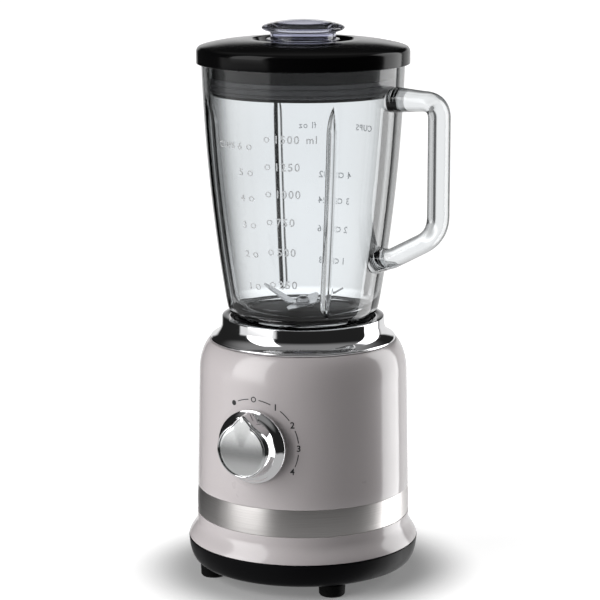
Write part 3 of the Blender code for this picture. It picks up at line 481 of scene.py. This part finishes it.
def housing():
    recess = 0.9
    outline = [(57.0, HOUSING_TOP - 0.4), (57.4, HOUSING_TOP), (68.9, HOUSING_TOP, 0.5)]
    outline += arc(BODY_TOP - SHOULDER_WIDTH, SHOULDER_START, SHOULDER_WIDTH, SHOULDER_RISE, 58, 0, 26)
    outline += [(body_radius(z), z) for z in (135.0, 120.0, 105.0, 90.0, 75.0)]
    outline += [(body_radius(BAND_TOP), BAND_TOP + 0.3, 0.25),
                (body_radius(BAND_TOP) - recess, BAND_TOP + 0.3),
                (body_radius(BAND_BOTTOM) - recess, BAND_BOTTOM - 0.3),
                (body_radius(BAND_BOTTOM), BAND_BOTTOM - 0.3, 0.25)]
    outline += [(body_radius(SKIRT_TOP - i), SKIRT_TOP - i) for i in range(0, 14)]
    outline += [(body_radius(26.2), 26.2), (body_radius(26.2) - 0.3, SKIRT_BOTTOM + 0.2),
                (body_radius(26.2) - 1.0, SKIRT_BOTTOM)]
    outline += [(82.7, SKIRT_BOTTOM), (81.5, 28.0), (78.7, 32.0), (76.3, 37.5), (74.0, SHOULDER_START)]
    outline += arc(BODY_TOP - SHOULDER_WIDTH, SHOULDER_START, SHOULDER_WIDTH - 2.6, SHOULDER_RISE - 2.6, 18,
                   52, 4)
    outline += [(66.0, HOUSING_TOP - 2.6), (57.0, HOUSING_TOP - 2.6)]
    piece = turned("painted_housing", outline, "base", PAINT, ["base_housing"], 200)
    hole = bmesh.new()
    lathe(hole, [(0.0, 84.0), (4.5, 84.0), (4.5, 60.0), (0.0, 60.0)], 32, forward(height=DIAL_HEIGHT))
    bmesh.ops.recalc_face_normals(hole, faces=hole.faces)
    tool = bpy.data.meshes.new("spindle_hole")
    hole.to_mesh(tool)
    hole.free()
    return with_boolean(piece, tool, "DIFFERENCE")


def band():
    top, bottom = body_radius(BAND_TOP), body_radius(BAND_BOTTOM)
    middle = (top + bottom) / 2 + 0.4
    outline = [(top - 0.5, BAND_TOP)]
    outline += bend((top - 0.3, BAND_TOP), (middle, (BAND_TOP + BAND_BOTTOM) / 2),
                    (bottom - 0.3, BAND_BOTTOM), 16)
    outline += [(bottom - 0.5, BAND_BOTTOM)]
    turned("brushed_band", outline, "base", STEEL_BAND, ["trim_band"], 240)


def collar():
    outline = [(53.6, COLLAR_TOP, 0.8), (59.7, COLLAR_TOP, 0.7)]
    outline += bend((59.9, 185.8), (60.6, 179.2), (67.6, 176.4), 18)
    outline += [(68.3, 175.6, 0.6), (67.9, COLLAR_BOTTOM, 0.4), (53.6, COLLAR_BOTTOM)]
    turned("flared_collar", outline, "base", CHROME, ["chrome_collar"], 200)


def bottom_plate():
    outline = [(78.6, 28.0), (80.4, 28.0), (80.4, SKIRT_BOTTOM - 0.3),
               (SKIRT_RADIUS, SKIRT_BOTTOM - 0.3, 0.5),
               (85.0, 21.0)]
    outline += bend((84.6, 18.0), (82.6, PLATE_BOTTOM), (77.5, PLATE_BOTTOM), 12)
    outline += [(12.0, PLATE_BOTTOM), (12.0, 9.7), (76.0, 9.7), (80.6, 14.2), (82.2, 21.0), (78.6, 22.4)]
    piece = turned("bottom_cover", outline, "base", BLACK, ["base_plate"], 160)
    cutter = bmesh.new()
    for i in range(6):
        slot = arc(0.0, 0.0, 2.2, 2.2, -90, 90, 10)
        sides = [(46.0 + x, y) for x, y in slot] + [(24.0 - x, -y) for x, y in slot]
        turn = Matrix.Translation(AXIS) @ Matrix.Rotation(math.tau * (i + 0.5) / 6, 4, "Z")
        rims = [[cutter.verts.new(turn @ Vector((x * MM, y * MM, z * MM))) for x, y in sides]
                for z in (5.0, 15.0)]
        cutter.faces.new(rims[0])
        cutter.faces.new(rims[1])
        for k in range(len(sides)):
            n = (k + 1) % len(sides)
            cutter.faces.new((rims[0][k], rims[0][n], rims[1][n], rims[1][k]))
    for name in ("base_screw_1", "base_screw_2", "base_screw_3", "base_screw_4"):
        low, high = node_mm(name)
        middle = (low + high) / 2
        at = Matrix.Translation(AXIS + Vector((middle.x, middle.y, 0.0)) * MM)
        lathe(cutter, [(0.0, 15.0), (4.2, 15.0), (4.2, 5.0), (0.0, 5.0)], 32, at)
    lathe(cutter, [(0.0, 90.0), (6.9, 90.0), (6.9, 70.0), (0.0, 70.0)], 40, forward(height=17.6, rear=True))
    bmesh.ops.recalc_face_normals(cutter, faces=cutter.faces)
    tool = bpy.data.meshes.new("openings")
    cutter.to_mesh(tool)
    cutter.free()
    with_boolean(piece, tool, "DIFFERENCE")


def gland():
    outline = [(3.6, 85.2, 0.4), (5.2, 85.2, 0.4), (5.4, 84.2), (6.5, 83.8, 0.3), (6.5, 77.0), (3.6, 77.0)]
    turned("cord_bush", outline, "base", BLACK, ["cord_gland"], 48,
           forward(height=17.6, rear=True))


def feet():
    for i, middle in enumerate(FEET):
        outline = [(0.0, PLATE_BOTTOM - 0.3), (9.8, PLATE_BOTTOM - 0.3, 0.3), (9.7, 3.4), (9.3, 3.0, 0.3),
                   (9.6, 2.6),
                   (9.5, -0.7), (8.6, -FOOT_REACH, 0.6), (5.6, -FOOT_REACH, 0.3), (5.0, -1.3), (0.0, -1.3)]
        at = Matrix.Translation(AXIS + Vector((middle.x, middle.y, 0.0)) * MM)
        turned(f"rubber_foot_{i + 1}", outline, "base", RUBBER, [f"foot_{i + 1}"], 56, at)


# --- Dial ---------------------------------------------------------------------------

def teardrop(degrees):
    """Radius of the knob's front at an angle from its pointer: a circle drawn out to a tip."""
    share = min(abs(degrees) / TIP_ANGLE, 1.0)
    return FACE_RADIUS + (TIP_RADIUS - FACE_RADIUS) * (1 + math.cos(math.pi * share ** 0.75)) / 2


def knob_angles():
    """Degrees from the pointer, closer together round the tip."""
    fine = [i * 1.0 for i in range(-30, 31)]
    coarse = [30 + i * 3.0 for i in range(1, 100)]
    return fine + coarse


def teardrop_solid(name, rows, material, replaces):
    """A solid whose rows are (radius at an angle, depth) turned round the dial's axis."""
    work = bmesh.new()
    place = forward(-KNOB_BACK, DIAL_HEIGHT)
    rings = []
    for radius, depth in rows:
        ring = []
        for degrees in knob_angles():
            a = math.radians(90 - degrees)
            r = radius(degrees)
            ring.append(work.verts.new(place @ (Vector((r * math.cos(a), r * math.sin(a), depth)) * MM)))
        rings.append(ring)
    count = len(rings[0])
    for first, second in zip(rings, rings[1:] + rings[:1]):
        for k in range(count):
            n = (k + 1) % count
            work.faces.new((first[k], first[n], second[n], second[k]))
    return finished(name, work, "dial", material, replaces)


def knob():
    depth = KNOB_FRONT - KNOB_BACK

    def fixed(radius):
        return lambda degrees: radius

    def front(offset, least=0.0):
        return lambda degrees: min(max(teardrop(degrees) + offset, least), FLANGE_RADIUS - 0.5)

    rows = [(fixed(3.4), 0.0), (fixed(26.5), 0.0), (fixed(26.8), 0.15), (fixed(FLANGE_RADIUS), 0.5),
            (fixed(FLANGE_RADIUS), 1.7), (fixed(26.7), 2.1), (fixed(26.3), 2.35), (front(0, 25.5), 2.8),
            (front(0.5, 24.6), 3.8), (front(1.3, 23.6), 4.8), (front(1.4, 22.9), 5.2),
            (front(1.5, 22.0), 5.6),
            (front(1.55, 21.6), 6.0), (front(1.5, 21.4), 6.8), (front(0.9), 11.0), (front(0.35), 15.6),
            (front(0.15), depth - 0.9), (front(0.0), depth - 0.6), (front(-0.4), depth - 0.35),
            (front(-0.8), depth - 0.3), (front(-1.0), depth - 0.45), (front(-1.0), depth - 2.6),
            (fixed(3.4), depth - 2.6)]
    teardrop_solid("control_knob", rows, CHROME, ["knob"])

    def shrunk(share):
        return lambda degrees: (teardrop(degrees) - 1.6) * share

    face = [(fixed(0.01), depth)]
    face += [(shrunk(i / 10), depth - 1.0 * (i / 10) ** 2) for i in range(2, 11)]
    face += [(front(-1.3), depth - 1.2), (front(-1.3), depth - 2.2), (fixed(0.01), depth - 2.2)]
    teardrop_solid("knob_front_plate", face, SATIN, ["knob_face"])


def on_cylinder(work, radius, angle, height, lift):
    """Wraps a flat mesh in millimetres (x round, y up, z out) onto the body or the jug."""
    for vertex in work.verts:
        x, y, z = vertex.co
        r = radius(height + y) + lift + z
        a = math.radians(angle) + x / radius(height)
        vertex.co = AXIS + Vector((r * math.cos(a), r * math.sin(a), height + y)) * MM


def text_mesh(body, size, thickness, x, y, weight=0.1, spacing=1.0, align="CENTER"):
    """Generic lettering at x and y, in millimetres."""
    curve = bpy.data.curves.new("lettering", "FONT")
    curve.body = body
    curve.size = size
    curve.align_x, curve.align_y = align, "CENTER"
    curve.extrude = thickness / 2
    curve.offset = weight
    curve.space_character = spacing
    curve.resolution_u = 3
    source = bpy.data.objects.new("lettering", curve)
    bpy.context.scene.collection.objects.link(source)
    bpy.context.view_layer.update()
    mesh = evaluated_mesh(source)
    bpy.data.objects.remove(source)
    mesh.transform(Matrix.Translation((x, y, thickness / 2)))
    return mesh


def ring_strip(work, x, y, inner, outer, start, end, thickness, steps=12):
    """A flat arc of a ring, in degrees clockwise from +Y, with a small thickness."""
    closed = end - start >= 360
    count = steps if closed else steps + 1
    columns = []
    for i in range(count):
        a = math.radians(90 - (start + (end - start) * i / steps))
        columns.append([work.verts.new((x + r * math.cos(a), y + r * math.sin(a), z))
                        for r, z in ((inner, 0.0), (outer, 0.0), (outer, thickness), (inner, thickness))])
    for i in range(steps):
        first, second = columns[i], columns[(i + 1) % count]
        for k in range(4):
            n = (k + 1) % 4
            work.faces.new((first[k], first[n], second[n], second[k]))
    if not closed:
        work.faces.new(columns[0])
        work.faces.new(columns[-1])


def dial_marks():
    """Off dot, zero and speeds 1 to 4 printed round the knob, with arcs between them."""
    circle, thickness = 34.0, 0.1
    work = bmesh.new()
    pulse = math.radians(PULSE_ANGLE)
    ring_strip(work, circle * math.sin(pulse), circle * math.cos(pulse), 0.0, 1.9, 0, 360, thickness, 24)
    ring_strip(work, 0.0, circle, 1.35, 2.05, 0, 360, thickness, 32)
    for i in range(5):
        middle = PULSE_ANGLE + SPEED_STEP * (i + 0.5)
        ring_strip(work, 0.0, 0.0, circle - 0.32, circle + 0.32, middle - 8.0, middle + 8.0, thickness, 20)
    for i in range(1, 5):
        a = math.radians(SPEED_STEP * i)
        work.from_mesh(text_mesh(str(i), 6.5, thickness, circle * math.sin(a), circle * math.cos(a), 0.12))
    on_cylinder(work, body_radius, -90.0, DIAL_HEIGHT, 0.02)
    finished("dial_marks", work, "base", INK)


def dial_ring():
    """Fine raised line in the paint round the knob."""
    work = bmesh.new()
    ring_strip(work, 0.0, 0.0, 30.7, 31.05, 0, 360, 0.12, 160)
    on_cylinder(work, body_radius, -90.0, DIAL_HEIGHT, 0.0)
    finished("dial_ring_line", work, "base", PAINT)


# --- Jug ----------------------------------------------------------------------------

RIB_TOP, RIB_BOTTOM = 355.5, 200.5


def rib_share(angle, z, radius, half_width, top, bottom):
    """From 0 to 1, how far a point is into one of the four ribs, which end in a pointed arch above."""
    if not bottom < z < top:
        return 0.0
    nearest = (angle - 45.0) % 90.0
    nearest = min(nearest, 90.0 - nearest)
    above, below = (top - z) / 18.0, (z - bottom) / 6.0
    width = half_width
    if above < 1:
        width *= 1 - (1 - above) ** 1.7
    if below < 1:
        width *= math.sqrt(max(1 - (1 - below) ** 2, 0.0))
    aside = math.radians(nearest) * radius
    if aside >= width:
        return 0.0
    return (1 - (aside / width) ** 2) ** 1.5 * (width / half_width) ** 0.6


def jug_angles():
    """Degrees round the jug, closer together at the ribs."""
    angles = []
    for corner in range(4):
        middle = 45.0 + 90.0 * corner
        angles += [middle + i * 0.45 for i in range(-12, 13)]
        start = middle + 12 * 0.45
        count = 34
        span = 90.0 - 24 * 0.45
        angles += [start + span * i / count for i in range(1, count)]
    return angles


def jug():
    """Thick pressed glass: grooves outside and ridges inside at the ribs, with the handle joined on."""
    heights = [JUG_RIM - 2.2 - 2.6 * i for i in range(68)]
    heights = [z for z in heights if z > JUG_FOOT_HEIGHT + 0.5]
    rows = [(JUG_RIM_RADIUS - GLASS, JUG_RIM - 1.2), (JUG_RIM_RADIUS - GLASS + 0.3, JUG_RIM - 0.6),
            (JUG_RIM_RADIUS - GLASS + 0.9, JUG_RIM - 0.2), (JUG_RIM_RADIUS - GLASS + 1.7, JUG_RIM),
            (JUG_RIM_RADIUS - 1.7, JUG_RIM), (JUG_RIM_RADIUS - 0.8, JUG_RIM - 0.3),
            (JUG_RIM_RADIUS - 0.2, JUG_RIM - 1.1)]
    rows = [(r, z, 0.0) for r, z in rows]
    rows += [(jug_radius(z), z, -1.0) for z in heights]
    rows += [(r, z, -1.0) for r, z in bend((55.9, 201.5), (54.6, 192.2), (47.5, 191.5), 12)]
    rows += [(r, z, 0.0) for r, z in softened([(46.0, 191.2), (44.6, 190.6, 0.5), (44.6, NECK_BOTTOM, 0.8),
                                               (40.7, NECK_BOTTOM, 0.8), (40.7, 194.0, 0.5)])[0:]]
    rows += [(r, z, -4.2)
             for r, z in bend((42.5, 196.6), (50.6, 197.3), (jug_radius(212.0) - GLASS, 212.0), 12)]
    rows += [(jug_radius(z) - GLASS, z, -4.2) for z in reversed(heights) if z > 213.0]
    work = bmesh.new()
    angles = jug_angles()
    rings = []
    for r, z, depth in rows:
        ring = []
        inside = depth < -2.5
        for angle in angles:
            share = rib_share(angle, z, r, 4.4 if inside else 3.6, 352.0 if inside else RIB_TOP,
                              202.5 if inside else RIB_BOTTOM) if depth else 0.0
            a = math.radians(angle)
            reach = r + depth * share
            ring.append(work.verts.new(AXIS + Vector((reach * math.cos(a), reach * math.sin(a), z)) * MM))
        rings.append(ring)
    count = len(angles)
    for first, second in zip(rings, rings[1:] + rings[:1]):
        for k in range(count):
            n = (k + 1) % count
            work.faces.new((first[k], first[n], second[n], second[k]))
    piece = finished("ribbed_glass_jug", work, "jug", CLEAR, ["glass_jug"], 40.0)
    corners = [(69.4, 353.9), (107.9, 353.9), (107.9, 258.6), (72.0, 239.2), (59.4, 236.7)]
    path = rounded_path(corners, [12.0, 24.0, 8.0])
    bar = pipe_mesh(path, 7.3, 11.0, lambda d: 0.3 * math.exp(-(d / 5.0) ** 2))
    with_boolean(piece, bar, "UNION")
    piece.data.shade_smooth()
    piece.data.set_sharp_from_angle(angle=math.radians(48))


def volume_marks():
    """Raised volume scales: millilitres and cups in front, fluid ounces and cups behind."""
    thickness = 0.35
    litres = [("1500", 329.6), ("1250", 310.1), ("1000", 290.6), ("750", 270.3), ("500", 248.4),
              ("250", 224.5)]
    cups = [("6", 323.4), ("5", 304.9), ("4", 286.4), ("3", 267.0), ("2", 245.7), ("1", 222.0)]
    ounces = [("32", 286.4), ("24", 267.0), ("16", 245.7), ("8", 222.0)]
    columns = [(-83.6, -79.5, 8.0, "LEFT", litres), (-95.0, -101.5, 7.0, "CENTER", cups),
               (97.0, 103.5, 7.0, "CENTER", ounces), (91.0, 84.5, 7.0, "CENTER", cups[2:])]
    work = bmesh.new()

    def add(source, angle, height):
        on_cylinder(source, jug_radius, angle, height, 0.02)
        mesh = bpy.data.meshes.new("part")
        source.to_mesh(mesh)
        source.free()
        work.from_mesh(mesh)

    def lettering(body, size, angle, height, align="CENTER"):
        source = bmesh.new()
        source.from_mesh(text_mesh(body, size, thickness, 0.0, 0.0, 0.08, 1.2, align))
        add(source, angle, height)

    for ring_at, number_at, size, align, marks in columns:
        for body, height in marks:
            source = bmesh.new()
            ring_strip(source, 0.0, 0.0, 1.4, 2.1, 0, 360, thickness, 28)
            add(source, ring_at, height)
            lettering(body, size, number_at, height, align)
    lettering("ml", 7.5, -57.8, 329.6)
    lettering("CUPS", 6.0, -112.0, 323.4)
    lettering("fl oz", 6.5, 114.5, 323.0)
    lettering("CUPS", 6.5, 74.0, 323.0)
    finished("volume_marks", work, "jug", EMBOSSED)


def jug_foot():
    ring = [(45.0, 190.0, 0.4), (50.4, 190.0, 0.6), (50.4, 170.3, 0.6), (36.0, 170.3, 0.5), (36.0, 173.6),
            (45.0, 173.6)]
    turned("clamping_ring", ring, "jug", BLACK, ["jug_base_ring"])
    gasket = [(40.8, 178.1, 0.4), (44.5, 178.1, 0.4), (44.5, 176.7, 0.4), (40.8, 176.7, 0.4)]
    turned("neck_gasket", gasket, "jug", SEAL, ["jug_gasket"])
    carrier = [(8.6, 197.6, 0.4), (22.0, 196.9), (33.0, 196.0, 2.0), (38.8, 194.4, 2.0), (40.1, 190.0, 1.5),
               (40.1, 176.4, 0.2), (44.4, 176.4, 0.3), (44.4, 173.9, 0.3), (37.4, 173.9, 0.3),
               (37.4, 190.0, 0.8),
               (34.0, 192.4), (8.6, 192.4)]
    turned("blade_holder", carrier, "jug", BLACK, ["blade_carrier"])
    bush = [(4.3, 198.2, 0.2), (8.3, 198.2, 0.5), (8.3, 192.0), (10.4, 192.0, 0.3), (10.4, 188.0, 0.3),
            (4.3, 188.0, 0.2)]
    turned("shaft_bush", bush, "jug", PLAIN_STEEL, ["blade_bush"], 64)


# --- Lid and cap --------------------------------------------------------------------

def lid():
    outline = [(24.4, 391.5, 0.3), (27.4, 391.5, 0.6), (27.9, 389.2, 0.4), (34.6, 389.2, 0.8),
               (36.6, 394.5, 1.0)]
    outline += [(44.0, 394.1), (52.0, 393.4), (60.8, 392.3), (68.0, 390.9), (72.0, 390.0)]
    outline += bend((74.0, 389.4), (77.0, 388.6), (LID_RADIUS, 385.2), 10)
    outline += [(LID_RADIUS, LID_BOTTOM, 0.5), (75.2, LID_BOTTOM, 0.3), (75.0, 380.2), (66.2, 380.2),
                (66.2, 367.6, 0.3),
                (64.5, 367.6), (64.5, 357.0), (65.9, 357.0, 0.2), (65.9, 355.2, 0.5), (62.0, 355.2, 0.5)]
    outline += [(62.0, 386.6), (26.9, 386.6), (26.9, 370.0, 0.4), (24.4, 370.0, 0.4)]
    turned("jug_lid", outline, "lid", LID_BLACK, ["lid"], 200)


def lid_seal():
    outline = [(64.8, 367.3), (66.2, 367.3, 0.2), (66.4, 364.4, 0.3), (67.2, 363.9, 0.2), (67.2, 363.5, 0.2),
               (66.3, 362.9, 0.3), (66.3, 360.0, 0.3), (67.2, 359.5, 0.2), (67.2, 359.1, 0.2),
               (66.3, 358.6, 0.3),
               (66.2, 357.3, 0.2), (64.8, 357.3)]
    turned("plug_seal", outline, "lid", SEAL, ["lid_seal"], 200)


def cap():
    outline = [(0.0, CAP_TOP), (6.0, CAP_TOP - 0.2), (13.0, CAP_TOP - 0.8), (18.0, CAP_TOP - 1.6),
               (23.0, CAP_TOP - 2.6)]
    outline += bend((26.4, CAP_TOP - 3.5), (33.6, CAP_TOP - 5.9), (26.4, CAP_TOP - 8.2), 12)
    outline += [(23.7, 399.4, 1.0), (23.7, 394.2, 0.6), (26.6, 394.2, 0.5), (26.6, 391.9, 0.5),
                (23.7, 391.9, 0.3),
                (23.2, 372.0, 0.6), (21.2, 372.0, 0.6), (21.7, 400.0, 2.0), (18.7, 403.0, 2.0), (0.0, 405.4)]
    turned("smoky_measuring_cap", outline, "cap", SMOKE, ["measuring_cap"], 128)


# --- Carried-over CAD pieces --------------------------------------------------------

def dress_cad_nodes():
    finishes = [(BLACK, ["jug_seat", "speed_switch", "cooling_fan", "drive_coupling", "driven_coupling"]),
                (IRON, ["lower_bracket", "upper_bracket", "stator_core", "rotor_core"]),
                (PLAIN_STEEL, ["upper_bearing", "rotor_shaft", "switch_spindle", "blade_shaft",
                               "blade_bush"]),
                (PLAIN_STEEL, [f"{kind}_{i}" for kind in ("base_screw", "motor_screw")
                               for i in (1, 2, 3, 4)]),
                (PLAIN_STEEL, [f"{kind}_{i}" for kind in ("motor_bolt", "brush_spring") for i in (1, 2)]),
                (BLADE_STEEL, ["blade_lower", "blade_upper", "blade_nut"]),
                (COPPER, ["armature_winding", "commutator", "field_coil_1", "field_coil_2"]),
                (BRASS, ["lower_bearing", "brush_holder_1", "brush_holder_2"]),
                (CARBON, ["carbon_brush_1", "carbon_brush_2"]),
                (RUBBER, [f"motor_damper_{i}" for i in (1, 2, 3, 4)])]
    for material, names in finishes:
        for name in names:
            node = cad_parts[name]
            node.data.materials.clear()
            node.data.materials.append(material)


# --- Studio -------------------------------------------------------------------------

class Sky:
    """The world's node tree, with short calls for light that depends on direction, in degrees."""

    def __init__(self):
        world = bpy.data.worlds.new("studio")
        bpy.context.scene.world = world
        world.use_nodes = True
        self.tree = world.node_tree
        self.tree.nodes.clear()
        self.direction = self.node("ShaderNodeTexCoord").outputs["Generated"]
        split = self.node("ShaderNodeSeparateXYZ")
        self.tree.links.new(self.direction, split.inputs["Vector"])
        self.up = split.outputs["Z"]

    def node(self, kind, **settings):
        made = self.tree.nodes.new(kind)
        for key, value in settings.items():
            setattr(made, key, value)
        return made

    def math(self, operation, first, second):
        made = self.node("ShaderNodeMath", operation=operation)
        for socket, value in zip(made.inputs, (first, second)):
            if isinstance(value, float):
                socket.default_value = value
            else:
                self.tree.links.new(value, socket)
        return made.outputs[0]

    def ramp(self, source, start, end, low=0.0, high=1.0):
        made = self.node("ShaderNodeMapRange", interpolation_type="SMOOTHSTEP")
        for key, value in (("From Min", start), ("From Max", end), ("To Min", low), ("To Max", high)):
            made.inputs[key].default_value = value
        self.tree.links.new(source, made.inputs["Value"])
        return made.outputs["Result"]

    def rises(self, start, end, low=0.0, high=1.0):
        """From low to high as the elevation goes from start to end."""
        return self.ramp(self.up, math.sin(math.radians(start)), math.sin(math.radians(end)), low, high)

    def patch(self, azimuth, half_width, edge, below, low, high, above, strength):
        """Light from a range of azimuths and elevations, with soft edges."""
        flat = self.node("ShaderNodeVectorMath", operation="MULTIPLY")
        flat.inputs[1].default_value = (1.0, 1.0, 0.0)
        self.tree.links.new(self.direction, flat.inputs[0])
        unit = self.node("ShaderNodeVectorMath", operation="NORMALIZE")
        self.tree.links.new(flat.outputs[0], unit.inputs[0])
        facing = self.node("ShaderNodeVectorMath", operation="DOT_PRODUCT")
        a = math.radians(azimuth)
        facing.inputs[1].default_value = (math.cos(a), math.sin(a), 0.0)
        self.tree.links.new(unit.outputs[0], facing.inputs[0])
        across = self.ramp(facing.outputs["Value"], math.cos(math.radians(half_width + edge)),
                           math.cos(math.radians(half_width)), 0.0, strength)
        upward = self.math("MULTIPLY", self.rises(below, low), self.rises(above, high))
        return self.math("MULTIPLY", across, upward)

    def choose(self, which, usual, special):
        mix = self.node("ShaderNodeMix")
        self.tree.links.new(which, mix.inputs["Factor"])
        for socket, value in (("A", usual), ("B", special)):
            if isinstance(value, float):
                mix.inputs[socket].default_value = value
            else:
                self.tree.links.new(value, mix.inputs[socket])
        return mix.outputs["Result"]


def world_light():
    """White in view. Glossy, matte and transmitted rays each see their own lamps and room."""
    sky = Sky()
    side = sky.math("ADD", sky.patch(*KNOB_LIGHT), sky.patch(*RIGHT_SOFTBOX))
    lamps = sky.math("ADD", sky.patch(*LEFT_SOFTBOX), side)
    mirrored = sky.math("ADD", sky.patch(*LEFT_CORE), side)
    room = sky.math("ADD", sky.rises(*CEILING), sky.rises(*GROUND))
    shiny = sky.math("ADD", sky.math("ADD", room, mirrored), sky.patch(*BEHIND))
    lit = sky.math("ADD", lamps, sky.rises(*FILL))
    matte = sky.math("ADD", lit, sky.patch(*FLOOR_BOUNCE))
    dimmed = sky.math("MULTIPLY", mirrored, LAMPS_THROUGH_GLASS)
    seen = sky.math("ADD", sky.patch(*BACKDROP), sky.patch(*FRONT_ROOM))
    through = sky.math("ADD", sky.math("ADD", room, dimmed), seen)
    kind = sky.node("ShaderNodeLightPath")
    light = sky.choose(kind.outputs["Is Glossy Ray"], matte, shiny)
    light = sky.choose(kind.outputs["Is Transmission Ray"], light, through)
    light = sky.choose(kind.outputs["Is Camera Ray"], light, WHITE_IN_VIEW)
    back = sky.node("ShaderNodeBackground")
    sky.tree.links.new(light, back.inputs["Strength"])
    out = sky.node("ShaderNodeOutputWorld")
    sky.tree.links.new(back.outputs["Background"], out.inputs["Surface"])


# Patches of light: azimuth, half width, soft edge, the elevations where it starts, is full,
# stops being full and ends (all in degrees), and strength.
# matte surfaces see LEFT_SOFTBOX and FLOOR_BOUNCE; mirrors see LEFT_CORE and BEHIND
LEFT_SOFTBOX = (-131.0, 26.0, 6.0, -6.0, 10.0, 48.0, 62.0, 4.2)
LEFT_CORE = (-126.0, 18.0, 5.0, -6.0, 8.0, 48.0, 62.0, 4.6)
RIGHT_SOFTBOX = (51.0, 15.0, 4.0, -60.0, -50.0, 36.0, 48.0, 4.4)
KNOB_LIGHT = (-131.0, 28.0, 5.0, -16.0, -8.5, -4.0, 8.0, 1.0)
BEHIND = (105.0, 27.0, 10.0, -75.0, -70.0, 8.0, 14.0, 1.0)
# seen through the glass
BACKDROP = (117.0, 24.0, 10.0, -30.0, -18.0, 28.0, 40.0, 1.13)
FRONT_ROOM = (-62.0, 110.0, 20.0, -30.0, -18.0, 28.0, 40.0, 0.6)
# the light that the floor throws back on the base
FLOOR_BOUNCE = (-150.0, 36.0, 45.0, -75.0, -65.0, -14.0, 2.0, 1.5)
# Light that changes with elevation: from, to, strength at from, strength at to
CEILING = (26, 55, 0.02, 0.3)
GROUND = (-16, -22, 0.0, 0.6)
FILL = (-4, -30, 0.13, 0.12)
LAMPS_THROUGH_GLASS = 0.16
WHITE_IN_VIEW = 1.05
# floor: metres from the axis where its own light starts and is full, and its strength at each; the weaker
# light near the axis is a painted shadow round the base
FLOOR_GLOW_AND_PAINTED_SHADOW = (0.08, 0.14, 0.16, 0.85)


def floor():
    """Pale floor far wider than the view. Its own light keeps it white away from the blender and fades near
    it, which paints a shadow round the base on top of its real one. Only the camera sees it: the world
    stands for it in reflections."""
    work = bmesh.new()
    bmesh.ops.create_circle(work, cap_ends=True, segments=64, radius=40.0)
    mesh = bpy.data.meshes.new("floor")
    work.to_mesh(mesh)
    work.free()
    s = Surface("pale_floor", (0.45, 0.45, 0.45), 0.6)
    s.shader.inputs["Specular IOR Level"].default_value = 0.0
    s.shader.inputs["Emission Color"].default_value = (1.0, 1.0, 1.0, 1.0)
    away = s.node("ShaderNodeVectorMath", operation="LENGTH")
    s.link(s.position(), away.inputs[0])
    # painted shadow: the floor's own light is weaker close to the axis, darkening the floor round the base
    # on top of its real shadow
    glow_and_painted_shadow = s.node("ShaderNodeMapRange", interpolation_type="SMOOTHSTEP")
    for key, value in zip(("From Min", "From Max", "To Min", "To Max"), FLOOR_GLOW_AND_PAINTED_SHADOW):
        glow_and_painted_shadow.inputs[key].default_value = value
    s.link(away.outputs["Value"], glow_and_painted_shadow.inputs["Value"])
    s.link(glow_and_painted_shadow.outputs["Result"], s.shader.inputs["Emission Strength"])
    mesh.materials.append(s.material)
    piece = bpy.data.objects.new("floor", mesh)
    bpy.context.scene.collection.objects.link(piece)
    piece.visible_glossy = piece.visible_diffuse = piece.visible_transmission = piece.visible_shadow = False


def camera():
    """Stands in front and to the handle's side, level with the lid, looking slightly down."""
    azimuth, distance, height, pitch, aside = 27.4, 1.640, 0.5347, 11.46, 0.079
    data = bpy.data.cameras.new("camera")
    data.sensor_width, data.lens = 36.0, 136.35
    view = bpy.data.objects.new("camera", data)
    bpy.context.scene.collection.objects.link(view)
    a = math.radians(azimuth)
    view.location = AXIS + Vector((distance * math.sin(a), -distance * math.cos(a), height))
    view.rotation_euler = (math.radians(90 - pitch), 0.0, a + math.radians(aside))
    bpy.context.scene.camera = view


housing()
band()
collar()
bottom_plate()
gland()
feet()
knob()
dial_marks()
dial_ring()
jug()
volume_marks()
jug_foot()
lid()
lid_seal()
cap()
dress_cad_nodes()
world_light()
floor()
camera()
bpy.context.scene.view_settings.view_transform = "Standard"
